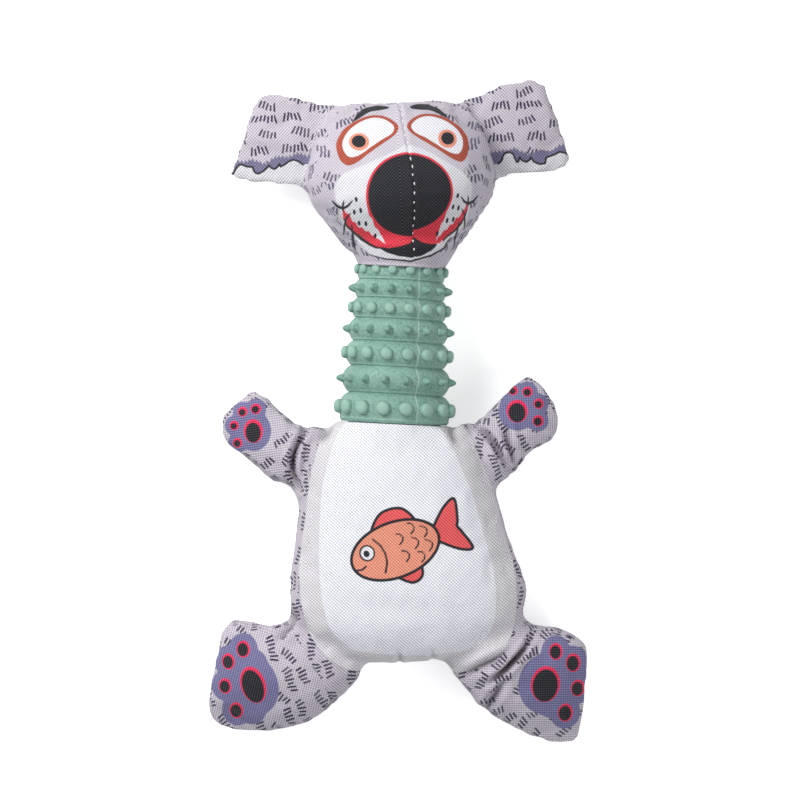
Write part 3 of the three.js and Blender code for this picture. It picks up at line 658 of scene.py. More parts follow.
def sewing_thread():
    """Twisted polyester thread: off-white, with a faint twist along it."""
    material, tree, shader = start_material("twisted_polyester_thread")
    where = add(tree, "TexCoord").outputs["Object"]
    twist = add(tree, "TexWave", {"Vector": where, "Scale": 900.0, "Distortion": 1.0},
                bands_direction="DIAGONAL")
    pale = {6: linear("#dedbe0"), 7: linear("#f7f5f8")}
    tone = add(tree, "Mix", {"Factor": twist.outputs[1], **pale}, data_type="RGBA")
    feed(tree, shader, {"Base Color": tone, "Roughness": 0.6})
    return material


# Covers

RIM_FOOT, RIM_HEAD = node_reach("neck_sleeve")


def hinge_of(limb):
    """Hinge point, the direction that the limb leaves it in, and the hinge's own line."""
    joint = JOINTS[limb + "_fold"]
    line = -np.array(joint["axis"])
    out = np.cross(line, UP)
    return np.array(joint["pos_m"]) / MM, out / np.linalg.norm(out), line


# How far outside its hinge a limb's cover starts, and the length of the stretch after that start
ROOT_INSET = {"arm": 3.0, "leg": 3.0, "ear": 1.0}
ROOT_BEND = {"arm": 16.0, "leg": 21.0, "ear": 8.0}
# Balls that fill the clearance behind the hinges: half thickness, half width and how far inward they sit
PLUGS = {"arm": (11.0, 15.5, 2.0), "leg": (16.0, 20.5, 2.0), "ear": (4.6, 20.5, 2.5)}
PLUG_LENGTH = 1.15
# One more between the left shoulder and the neck: place and radii
SHOULDER_PLUG = ((-41.0, 56.0), (14.0, 8.0, 13.0))


def root_of(limb):
    """Where a limb's cover starts, which way it leaves, and the stretch after that start, in metres."""
    point, out, _ = hinge_of(limb)
    kind = limb.split("_")[1]
    at = point + out * ROOT_INSET[kind]
    return at, out, (tuple(at * MM), tuple((at + out * ROOT_BEND[kind]) * MM))


def plug_at(limb):
    """Centre, directions and radii of the ball behind a limb's hinge."""
    point, out, line = hinge_of(limb)
    thick, wide, inward = PLUGS[limb.split("_")[1]]
    return point - out * inward, (out, line, np.cross(out, line)), (thick * PLUG_LENGTH, wide, thick)


def filled_skin(name, nodes, plugs, voxel, rounds, seam_tilt, swell):
    """A smooth skin round CAD solids, swollen by its filling but held where it turns to the side."""
    skin = skin_round(name, nodes, plugs, voxel)
    ease(skin.data, rounds)
    fill_with_fibre(skin, np.abs(normals_of(skin.data)[:, 2]) < seam_tilt, swell)
    refine(skin, 2)
    return skin


def round_neck(points):
    """Place along the neck and distance from its middle line."""
    offset = points - NECK_PIVOT
    place = offset @ NECK_ALONG
    return place, np.linalg.norm(offset - place[:, None] * NECK_ALONG, axis=1)


# Cloth that leans is laid from the front rather than from a side
FRONT_FIRST = np.array([1.0, 1.0, 1.35])


def lay_cloth(mesh, across=(1.0, 0.0, 0.0), along=(0.0, 1.0, 0.0), mirror=None):
    """Coordinates in mm for the print and the threads, laid on from the side that each face looks to.
    The hair strokes and the warp run along, and two panels cut as a pair mirror each other."""
    axes = np.stack([across, along, UP])
    points = points_of(mesh) @ axes.T
    if mirror is not None:
        points[:, 0] = np.abs(points[:, 0] - mirror)
    side = np.abs(read(mesh.polygons, "normal", 3) @ axes.T) * FRONT_FIRST
    way = np.repeat(side.argmax(axis=1), read(mesh.polygons, "loop_total", kind=np.int64))[:, None]
    at = points[read(mesh.loops, "vertex_index", kind=np.int64)]
    flat = np.where(way == 2, at[:, [0, 1]], np.where(way == 0, at[:, [2, 1]], at[:, [0, 2]]))
    mesh.uv_layers.new(name="print").data.foreach_set("uv", flat.astype(np.float32).ravel())


def cut_off(whole, name, sides):
    """The part of a skin outside every plane given as (point, direction, sign), with the whole's shading."""
    made = bmesh.new()
    made.from_mesh(whole)
    for point, way, sign in sides:
        geom = made.verts[:] + made.edges[:] + made.faces[:]
        bmesh.ops.bisect_plane(made, geom=geom, plane_co=Vector(point * MM), plane_no=Vector(way * sign),
                               dist=1e-7, clear_inner=True)
    mesh = bpy.data.meshes.new(name)
    made.to_mesh(mesh)
    made.free()
    smooth_faces(mesh)
    shading = read(mesh.attributes["shading"].data, "vector", 3)
    shading /= np.maximum(np.linalg.norm(shading, axis=1)[:, None], 1e-9)
    mesh.normals_split_custom_set_from_vertices(shading.tolist())
    return link(name, mesh)


def cover_of(whole, name, sides, material, **cloth):
    """One cover cut from a skin, with its threads laid on and its print."""
    cover = cut_off(whole, name, sides)
    lay_cloth(cover.data, **cloth)
    cover.data.materials.append(material)
    return cover


# Distance that keeps a print off the cloth, the facing below which distances grow, and how fast they do
NO_PRINT = 60.0
TURNED_FROM, TURNED_BY = 0.3, 12.0


def steep(facing):
    """Added to a print's distances so that its shapes end, and don't stretch, where the cloth turns away."""
    return TURNED_BY * np.maximum(TURNED_FROM - facing, 0)


# Banks beside a fold: height, place and width as shares of the fold's own, and the depth at which its painted
# shade is darkest
BANK_HEIGHT, BANK_PLACE, BANK_WIDTH = 0.45, 2.4, 1.4
DARKEST_DEPTH = 4.5


def crease(points, normals, path, width, depth):
    """A sharp fold in the front of the cloth: how far it moves the cloth, and how much painted shade lies in it.
    """
    gap, share = to_path(points[:, :2], path)
    held = np.sin(np.pi * np.clip(share, 0.03, 0.97)) ** 0.5 * smoothstep(-0.1, 0.35, normals[:, 2])
    valley = np.exp(-((gap / width) ** 1.4))
    banks = BANK_HEIGHT * np.exp(-(((gap - BANK_PLACE * width) / (BANK_WIDTH * width)) ** 2))
    # Painted shade, darkest in the middle of the fold
    painted_shade = np.exp(-((gap / (0.9 * width)) ** 2)) * held * min(1.0, depth / DARKEST_DEPTH)
    return depth * (banks - valley) * held, painted_shade


# How far the cloth turns from its side seam until the seam's puckers fade
PUCKER_TILT = 0.16


def seam_puckers(points, normals, slant, pitch, height, depth):
    """How the side seam draws the cloth in, in small waves along it."""
    wave = np.sin((points[:, 0] + points[:, 1] * slant) * 2 * math.pi / pitch)
    return np.exp(-((np.abs(normals[:, 2]) / PUCKER_TILT) ** 2)) * (height * wave - depth)


def pull(points, at, reach, shift):
    """Draws the cloth sideways round a place seen from the front."""
    gap = np.linalg.norm(points[:, :2] - np.array(at), axis=1)
    return np.exp(-((gap / reach) ** 2))[:, None] * np.array([*shift, 0.0])


LIMBS = ("left_arm", "right_arm", "left_leg", "right_leg")
# Each paw: the large pad's centre, radii and turn, then each toe's centre and radius
PAWS = {
    "left_arm": (
        ((-70.8, 63.4), (4.9, 5.9), 0),
        (((-75.8, 73.3), 2.5), ((-69.1, 74.4), 2.65), ((-80.4, 66.7), 2.4), ((-79.1, 57.9), 2.5))),
    "right_arm": (
        ((61.1, 66.2), (5.3, 5.7), 0),
        (((59.7, 76.6), 2.4), ((66.9, 75.6), 2.6), ((72.1, 69.3), 2.6), ((71.3, 60.8), 2.85))),
    "left_leg": (
        ((-77.6, -62.8), (6.3, 9.4), 15),
        (((-81.7, -44.9), 3.7), ((-89.6, -50.8), 3.6), ((-91.9, -63.0), 3.5), ((-87.0, -75.6), 3.8))),
    "right_leg": (
        ((67.7, -70.2), (7.4, 9.1), -8),
        (((73.8, -54.4), 3.7), ((82.3, -60.7), 4.1), ((84.1, -73.8), 3.9), ((77.2, -85.7), 4.2))),
}
# Fuller corners of the leg patches: centre and radius
PATCH_CORNERS = {
    "left_leg": (((-79.5, -75.5), 7.6), ((-76.0, -51.5), 6.0)),
    "right_leg": (((70.8, -80.5), 7.4),),
}
BELLY = ((-22.0, 69.5), (-25.2, 64.8), (-29.3, 59.3), (-31.6, 53.7), (-33.6, 47.6), (-36.3, 39.0),
         (-38.1, 30.7), (-39.6, 18.8), (-40.6, 8.0), (-41.3, -8.0), (-40.5, -22.7), (-37.6, -35.8),
         (-30.2, -44.8), (-22.0, -48.7), (1.2, -51.6), (25.0, -51.4), (36.7, -47.0), (43.0, -38.8),
         (45.2, -24.4), (44.4, -10.0), (42.4, -1.0), (40.2, 8.8), (38.1, 19.0), (35.5, 28.9), (32.8, 36.0),
         (29.8, 44.6), (26.6, 51.9), (23.4, 58.2), (19.0, 63.5), (14.0, 69.5))
# Width of the band round the belly, how much narrower it is by the left shoulder, and where that starts
BORDER_WIDTH = 10.5
BORDER_NARROWS = 3.5
NARROWS_ACROSS, NARROWS_ALONG = (-15, -35), (-15, 30)

# Each fold: its path, width and depth; each also holds painted shade
CREASES = (
    (((-44.0, 64.5), (-46.2, 60.6), (-49.4, 55.3), (-51.4, 49.9), (-52.2, 45.0), (-52.2, 39.0),
      (-50.0, 32.0)), 1.3, 4.8),
    (((40.0, 60.3), (45.0, 56.2), (48.5, 51.5), (51.2, 45.6), (53.6, 40.3), (55.2, 36.5)), 1.4, 3.6),
    (((55.0, 58.5), (55.6, 51.8), (57.1, 46.6), (58.0, 40.0)), 1.5, 3.4),
    (((61.5, -47.8), (57.9, -52.0), (53.7, -56.3), (48.9, -60.5), (44.3, -63.8), (40.2, -67.1)), 1.3, 4.8),
    (((49.5, -53.0), (41.2, -57.1), (35.1, -59.5), (27.0, -63.8)), 1.8, 3.0),
    (((47.5, -66.0), (43.4, -72.7), (40.2, -77.5), (37.0, -83.0)), 1.9, 2.8),
    (((-63.5, -40.0), (-57.8, -34.7), (-54.0, -28.5)), 1.7, 2.6),
    # Two hollows beside the neck's foot, darkened as painted shade under the neck's overhang
    (((23.5, 63.0), (27.0, 58.5), (31.5, 52.0)), 2.0, 2.8),
    (((-28.5, 66.5), (-33.0, 62.0), (-38.0, 57.0)), 2.4, 2.4),
    (((-4.0, -49.5), (-4.6, -56.5)), 1.2, 1.2),
    (((12.2, -49.5), (12.8, -56.5)), 1.2, 1.2),
)

# Where the filled cloth stands out from its pattern or is drawn in: place, reach and shift
BODY_PULLS = (((-55.7, -84.6), 13.0, (0.6, -2.4)), ((79.0, -98.0), 10.0, (1.6, -2.2)),
              ((-44.1, -75.2), 12.0, (1.4, -1.4)), ((-85.0, -33.0), 9.0, (-1.2, 2.0)),
              ((-99.6, -64.7), 16.0, (-1.1, 0.0)), ((34.8, -78.0), 12.0, (-0.8, -0.8)),
              ((59.1, -18.2), 18.0, (1.3, 0.0)), ((76.5, 52.5), 8.0, (3.4, -2.2)),
              ((-85.0, 57.0), 7.0, (-1.0, -1.0)), ((81.0, 68.0), 8.0, (-3.0, 0.6)),
              ((73.0, -48.0), 9.0, (0.0, 2.4)), ((-56.5, 32.0), 8.0, (1.4, 3.6)))
HEAD_PULLS = (((74.0, 231.0), 14.0, (-1.6, 1.8)), ((58.0, 228.0), 12.0, (0.0, 1.4)),
              ((-46.0, 228.5), 16.0, (0.0, 1.2)))


# The fish on the belly: its place, lean in degrees, half the width of its ink edge, and its tail and fins
FISH_MIDDLE, FISH_LEAN = (1.5, 3.0), 18
FISH_INK = 0.7
FISH_FINS = (
    ((14.5, 1.5), (24, 10.5), (31, 13), (29, 3), (27.6, 0), (29, -4), (31, -13), (24, -10.5), (14.5, -1.5)),
    ((-14, 10), (-6, 19), (5, 18), (9, 9), (-2, 11)), ((-9, -11), (-3, -18), (3, -16.5), (3, -10.5)),
)
FISH_GILL = ((-13.5, 8.8), (-11.0, 4.5), (-10.2, 0.0), (-11.0, -4.5), (-13.5, -8.8))
FISH_SCALES = ((-2, 4.5), (-2, -4.5), (4.5, 0), (5, 7.5), (5, -7.5), (10.5, 3.6), (10.5, -3.6))
FISH_MOUTH = ((-27.0, -2.6), (-23.6, -3.4), (-21.2, -2.4))


def belly_fish(places):
    """A plain fish with an oval body, a tail and two fins, leaning on the belly, as layers of its print."""
    flat = turned_places(places, FISH_MIDDLE, FISH_LEAN)
    body = oval(flat, (-5, 0), (22.5, 13.5))
    fins = joined(*(outline(flat, rounded(corners)) for corners in FISH_FINS))
    gill = to_path(flat, FISH_GILL)[0] - 0.55
    scales = joined(*(to_path(flat, rounded_arc(x, y))[0] - 0.45 for x, y in FISH_SCALES))
    eye = oval(flat, (-18.5, 3.4), (3.1, 3.3))
    mouth = to_path(flat, FISH_MOUTH)[0] - 0.5
    return {
        "motif_edge": joined(body, fins) - FISH_INK,
        "motif_fins": fins + FISH_INK,
        "motif_ring": body - FISH_INK,
        "motif_body": body + FISH_INK,
        "motif_lines": joined(gill, scales, mouth, eye - 0.8),
        "motif_eye": eye,
        "motif_pupil": oval(flat, (-18.9, 3.2), (1.5, 1.7)),
    }


def rounded_arc(x, y):
    """One scale of the fish."""
    return [(x, y + 2.9), (x + 2.0, y + 1.7), (x + 2.7, y), (x + 2.0, y - 1.7), (x, y - 2.9)]


# Paw prints: the patch's margin round the toes and round the large pad, and how wide and tall the toes are
PAW_SHAPES = {"arm": (2.3, 4.0, (1.0, 1.0)), "leg": (3.7, 6.2, (0.93, 1.12))}
# How far the dark of a pad sits from the middle of its ring, and how wide the ring is
PAD_SHIFT, PAD_RING = (-0.15, -0.75), (1.05, 0.9)
TOE_SHIFT, TOE_RING = (-0.25, -0.3), 0.8


def paw_print(places, limb):
    """A purple patch with a large pad and four toes, each near black in a ring that is wider above."""
    (pad, radii, turn), toes = PAWS[limb]
    margin, pad_margin, tall = PAW_SHAPES[limb.split("_")[1]]
    pad, radii, tall = np.array(pad), np.array(radii), np.array(tall)
    patch = [oval(places, pad, radii + pad_margin, turn)]
    patch += [oval(places, centre, (radius, radius)) for centre, radius in PATCH_CORNERS.get(limb, ())]
    rings = [oval(places, pad, radii, turn)]
    pads = [oval(places, pad + PAD_SHIFT, radii - PAD_RING, turn)]
    for number, (centre, radius) in enumerate(toes):
        centre = np.array(centre)
        patch.append(oval(places, centre, radius * tall + margin))
        patch.append(to_path(places, [pad, centre])[0] - radius - 0.8 * margin)
        if number:
            before, size = toes[number - 1]
            patch.append(to_path(places, [before, centre])[0] - 0.75 * size)
        rings.append(oval(places, centre, radius * tall))
        pads.append(oval(places, centre + TOE_SHIFT, (radius - TOE_RING) * tall))
    return {"paw_patch": melted(patch, 0.5), "paw_ring": joined(*rings), "paw_pad": joined(*pads)}


# Lumps of the filling in the covers: height, size and seed
BODY_LUMPS = ((0.35, 26, 3), (0.15, 9, 4))
HEAD_LUMPS = ((0.25, 24, 8), (0.1, 8, 9))
# Height at which the lowest cloth lies on the table
TABLE_GAP = 0.15
# The collar under the neck's lip: its gap, the most it is drawn up, and where that fades out across and along
COLLAR_GAP, COLLAR_RISE = 0.4, 6
COLLAR_ACROSS, COLLAR_ALONG = (35, 27), (1, 8)
# Half the soft edge of a print: sharp ones, and those of large patches
SHARP, SOFT = 0.2, 0.3


def sew_body(rules):
    """Torso and limbs as one filled skin, then cut at the limb roots into a cover for each."""
    nodes = ["torso_front_panel", "torso_back_panel", "torso_stuffing_front", "torso_stuffing_back"]
    for limb in LIMBS:
        nodes += [limb + "_front_panel", limb + "_back_panel", limb + "_stuffing"]
    at, radii = SHOULDER_PLUG
    plugs = [plug_at(limb) for limb in LIMBS] + [(np.array([*at, SEAM_HEIGHT]), np.eye(3), radii)]
    skin = filled_skin("body_skin", nodes, plugs, voxel=3.3, rounds=14, seam_tilt=0.2, swell=2.5)
    mesh = skin.data
    points = points_of(mesh)
    normals = normals_of(mesh)
    move = sum(height * lumps(points, size, seed) for height, size, seed in BODY_LUMPS)
    # Painted shade of the folds, gathered over all creases
    fold = np.zeros(len(points))
    for path, width, depth in CREASES:
        press, painted_shade = crease(points, normals, path, width, depth)
        move += press
        fold = np.maximum(fold, painted_shade)
    move += seam_puckers(points, normals, slant=0.9, pitch=7.5, height=0.25, depth=0.5)
    points = points + normals * move[:, None] + sum(pull(points, *spot) for spot in BODY_PULLS)
    place, radius = round_neck(points)
    lift = np.clip(RIM_FOOT - COLLAR_GAP - place, 0, COLLAR_RISE)
    lift = lift * smoothstep(*COLLAR_ACROSS, radius) * smoothstep(*COLLAR_ALONG, place)
    points = points + lift[:, None] * NECK_ALONG
    points[:, 2] = np.maximum(points[:, 2], TABLE_GAP)
    put_points(mesh, points)
    keep_values(mesh, "shading", normals_of(mesh))
    # Painted shade in the folds, for the canvas to darken them
    keep_values(mesh, "fold", 0.85 * fold)
    flat = points[:, :2]
    front = np.where(normals[:, 2] > -0.2, 0.0, NO_PRINT)
    belly = outline(flat, rounded(BELLY, 5)) + front
    keep_values(mesh, "belly", belly)
    narrow = smoothstep(*NARROWS_ACROSS, points[:, 0]) * smoothstep(*NARROWS_ALONG, points[:, 1])
    keep_values(mesh, "border", belly - BORDER_WIDTH + BORDER_NARROWS * narrow)
    for key, values in belly_fish(flat).items():
        keep_values(mesh, key, values + front)
    facing = even_out(mesh, normals[:, 2])
    for key, share in (("paw_patch", 0.5), ("paw_ring", 1.0), ("paw_pad", 1.0)):
        shape = joined(*(paw_print(flat, limb)[key] for limb in LIMBS))
        keep_values(mesh, key, shape + front + share * steep(facing))
    patch = [("border", rules.border, SOFT), ("belly", rules.belly, SOFT)]
    torso_print = canvas("printed_canvas_belly", rules, patch + [
        ("motif_edge", rules.ink, SHARP), ("motif_fins", rules.coral, SHARP),
        ("motif_ring", rules.ink, SHARP), ("motif_body", rules.salmon, SHARP),
        ("motif_lines", rules.ink, SHARP), ("motif_eye", rules.white, SHARP),
        ("motif_pupil", rules.ink, SHARP),
    ])
    limb_print = canvas("printed_canvas_paw", rules, patch + [
        ("paw_patch", rules.paw, 0.25), ("paw_ring", rules.ring, SHARP), ("paw_pad", rules.ink, SHARP),
    ])
    roots = {limb: root_of(limb) for limb in LIMBS}
    torso = cover_of(mesh, "torso_cover", [(at, out, -1) for at, out, _ in roots.values()], torso_print,
                     across=(0.0, 1.0, 0.0), along=(1.0, 0.0, 0.0))
    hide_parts("torso_front_panel", "torso_back_panel")
    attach(torso, "torso")
    for limb in LIMBS:
        at, out, bend = roots[limb]
        cover = cover_of(mesh, limb + "_cover", [(at, out, 1)], limb_print,
                         across=np.cross(out, UP), along=out)
        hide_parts(limb + "_front_panel", limb + "_back_panel")
        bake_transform(cover)
    bpy.data.objects.remove(skin)


def head_places(points):
    """Places on the head in its own across, along and front directions, from the middle of its face."""
    return (points - HEAD_PIVOT) @ HEAD_AXES.T + np.array([0.4, -0.3, 0.0])


# Outlines of the face's print in mm: the eyes and brows from its middle, the muzzle and lips from the left
FACE_MIDDLE = -0.7
EYE_RIM = ((32.8, 43.8), (31.9, 47.6), (29.2, 52.0), (25.1, 55.2), (19.5, 57.6), (14.0, 58.4), (9.0, 57.9),
           (4.6, 55.8), (2.1, 52.6), (3.6, 49.2), (7.7, 46.2), (12.4, 43.2), (17.6, 39.7), (22.7, 36.0),
           (27.0, 34.1), (29.5, 34.8), (31.7, 37.9))
EYE_WHITE = ((29.8, 44.0), (29.1, 47.7), (26.3, 51.8), (21.8, 55.2), (16.9, 56.9), (12.5, 57.3),
             (8.1, 56.2), (5.0, 53.9), (4.3, 51.6), (6.2, 49.0), (10.9, 46.5), (15.9, 43.2), (20.7, 39.9),
             (24.2, 38.3), (27.0, 38.3), (28.9, 40.5))
BROW = ((23.7, 56.3), (21.2, 59.5), (17.6, 62.0), (13.2, 63.6), (9.0, 63.6), (5.2, 61.4), (10.2, 60.5),
        (14.8, 60.0), (19.0, 58.3))
UNDER_EYE = ((4.0, 47.0), (12.0, 40.5), (20.0, 36.0), (26.0, 33.0))
MUZZLE = ((0.5, 43.0), (-4.3, 40.9), (-13.0, 37.2), (-20.9, 34.2), (-27.7, 31.7), (-32.1, 29.4),
          (-34.4, 26.5), (-35.5, 22.6), (-35.1, 18.1), (-33.3, 13.8), (-32.3, 8.0), (-30.3, 3.6),
          (-27.0, 0.1), (-22.8, -3.6), (-18.0, -7.2), (-13.5, -10.3), (-9.6, -12.2), (0.6, -13.8),
          (9.6, -11.0), (16.3, -6.6), (22.0, -2.6), (26.3, 0.6), (29.2, 4.2), (30.9, 8.5), (31.4, 14.6),
          (32.3, 20.7), (31.2, 24.6), (27.7, 28.6), (22.6, 32.1), (17.0, 35.6), (9.9, 39.9))
LIP_LEFT = ((-31.6, 13.8), (-31.2, 8.4), (-29.4, 4.6), (-26.2, 1.5), (-22.0, -1.8), (-17.6, -4.4),
            (-13.0, -6.5), (-8.8, -7.2))
LIP_MIDDLE = ((-3.3, -6.4), (0.7, -4.7), (2.9, -2.0), (6.5, -4.9), (10.1, -5.6), (13.0, -5.4))
LIP_RIGHT = ((16.9, -4.0), (20.5, -1.5), (24.0, 1.0), (27.1, 4.1), (29.2, 7.6), (29.9, 11.0), (29.6, 14.8))
LIP_TOP = ((28.2, 11.0), (26.6, 8.4), (24.4, 6.4), (22.3, 4.1), (17.8, 0.3), (13.5, -3.9), (16.5, 3.2),
           (18.6, 8.6), (20.8, 14.5), (0.4, 20.0), (-21.0, 16.5), (-19.6, 10.4), (-17.1, 4.9),
           (-13.5, -0.1), (-9.6, -5.1), (-15.2, -1.5), (-21.8, 2.9), (-25.2, 5.3), (-27.4, 8.0),
           (-29.2, 10.6))
UNDER_LIP = ((-12.0, -6.8), (-8.6, -9.4), (-4.3, -11.1), (1.0, -12.1), (5.5, -11.1), (9.6, -8.7),
             (12.8, -5.6), (9.0, -4.0), (2.5, -1.0), (-6.0, -5.0))
CHIN_LINE = ((-16.5, -9.3), (-9.6, -12.2), (0.6, -13.8), (9.6, -11.0), (16.3, -6.6), (22.0, -2.4))
MOUTH_CORNER = ((36.0, 17.3), (33.7, 14.6), (31.0, 13.4), (28.7, 14.4), (26.8, 16.6))
HAIRS = (((30.6, 17.0), (31.0, 14.6), (30.8, 11.9)), ((27.4, 10.9), (29.4, 8.3), (30.0, 4.8), (29.9, 1.1)),
         ((26.7, 5.5), (25.8, 0.0), (23.8, -6.9)))
# The two halves of the nose, and the iris, the pupil and the bare forehead: centre and radii
NOSE_LEFT, NOSE_RIGHT = ((0.4, 18.4), (20.5, 19.8)), ((0.4, 19.7), (20.5, 18.3))
IRIS, PUPIL = ((21.9, 45.8), (4.8, 4.6)), ((22.0, 46.0), (3.3, 3.15))
FOREHEAD = ((0.0, 51.0), (12.0, 13.0))
FRECKLES = ((25.0, 17.2), (22.8, 11.8), (25.7, 11.3), (20.1, 5.4), (23.3, 5.9), (15.3, -0.7))


def face_seam(along):
    """How far the middle seam lies from the head's middle. It leans over towards the crown."""
    return 2.3 - 2.6 * smoothstep(22, 60, along)


def face_print(local):
    """Eyes, brows, pale muzzle, round nose and mouth. Eyes, brows and freckles are alike on both sides."""
    flat = local[:, :2]
    half = np.stack([np.abs(flat[:, 0] - FACE_MIDDLE), flat[:, 1]], axis=1)
    right = flat[:, 0] > face_seam(flat[:, 1])
    nose = np.where(right, oval(flat, *NOSE_RIGHT), oval(flat, *NOSE_LEFT))
    ragged = 0.35 * np.sin(flat[:, 0] * 2 * math.pi / 3.1) * smoothstep(12, 17, np.abs(flat[:, 0]))
    lips = outline(flat, LIP_LEFT + LIP_MIDDLE + LIP_RIGHT + LIP_TOP) + ragged
    rims = joined(stroke(flat, LIP_LEFT[1:], 0.55), stroke(flat, LIP_RIGHT[:-1], 0.5))
    hairs = joined(*(stroke(half, path, 0.5) for path in HAIRS))
    freckles = joined(*(oval(half, at, (0.65, 1.3), -12) for at in FRECKLES))
    rim = outline(half, rounded(EYE_RIM, 5))
    return {
        "plain": joined(oval(half, *FOREHEAD), to_path(half, UNDER_EYE)[0] - 5.5),
        "muzzle": outline(flat, rounded(MUZZLE, 4)),
        "eye_rim": rim,
        "eye_white": outline(half, rounded(EYE_WHITE, 5)),
        "eye_iris": np.maximum(oval(half, *IRIS), rim),
        "eye_pupil": oval(half, *PUPIL),
        "brow": outline(half, rounded(BROW, 5)),
        "under_lip": outline(flat, UNDER_LIP),
        "red": joined(lips, nose - 1.05),
        "nose": nose,
        "ink": joined(stroke(flat, CHIN_LINE, 0.45), rims, stroke(half, MOUTH_CORNER, 0.65), hairs, freckles),
    }


EARS = ("left_ear", "right_ear")
# How far the purple band reaches above the scalloped line
BAND_HEIGHT = 4.0
EAR_SCALLOPS = {
    "left_ear": (
        (-76.1, 191.9), (-74.5, 193.1), (-73.0, 195.3), (-71.5, 197.0), (-70.1, 197.3),
        (-67.3, 196.0), (-64.4, 195.6), (-64.0, 193.7), (-63.0, 192.4), (-61.4, 192.0),
        (-59.2, 193.0), (-57.0, 194.8), (-56.0, 195.7), (-55.2, 194.5), (-53.5, 193.7),
        (-52.0, 194.5), (-50.8, 196.1), (-50.2, 194.6), (-48.0, 195.7), (-45.8, 197.0),
        (-43.6, 197.5), (-41.1, 196.6), (-38.9, 194.7)),
    "right_ear": (
        (58.6, 190.4), (60.5, 192.0), (61.1, 194.1), (62.2, 195.5), (64.3, 196.0), (66.3, 195.0),
        (67.2, 192.5), (67.8, 190.9), (68.8, 191.1), (69.5, 193.2), (70.7, 191.5), (72.8, 190.7),
        (74.5, 191.7), (75.2, 192.9), (76.5, 190.7), (79.4, 189.3), (82.3, 189.6), (82.9, 192.5),
        (85.4, 193.2), (87.5, 193.9), (89.7, 195.0), (92.2, 194.5), (94.2, 193.5)),
}


def ear_print(places, ear):
    """A pale grey hem under a scalloped ink line, and a purple band with a ragged top above it."""
    line = np.array(EAR_SCALLOPS[ear])
    across, along = places[:, 0], places[:, 1]
    under = along < np.interp(across, line[:, 0], line[:, 1])
    even = np.convolve(np.pad(line[:, 1], 3, mode="edge"), np.ones(7) / 7, "valid")
    top = np.interp(across, line[:, 0], even)
    ragged = 0.7 * np.sin(across * 2 * math.pi / 1.9) + 0.8 * np.sin(across * 2 * math.pi / 11)
    gap = to_path(places, line)[0]
    return {
        "tip_band": along - top - BAND_HEIGHT - ragged,
        "tip_hem": np.where(under, -gap, gap),
        "tip_line": gap - 0.5,
    }


# The chin's hem over the neck's rim, how fast the chin widens from it, and the fuller crown
HEM_RADIUS = 22.0
HEM_FRONT = 2.3
HEM_DROOP = 0.6
HEM_SLOPE = 0.55
CROWN_RISE = 1.4
# The middle seam of the face: height and half width of the ridge beside it and of its groove
SEAM_RIDGE, SEAM_GROOVE = (0.5, 3.2), (1.0, 0.75)
# Where the left ear's half of the head ends
EARS_PART = 8


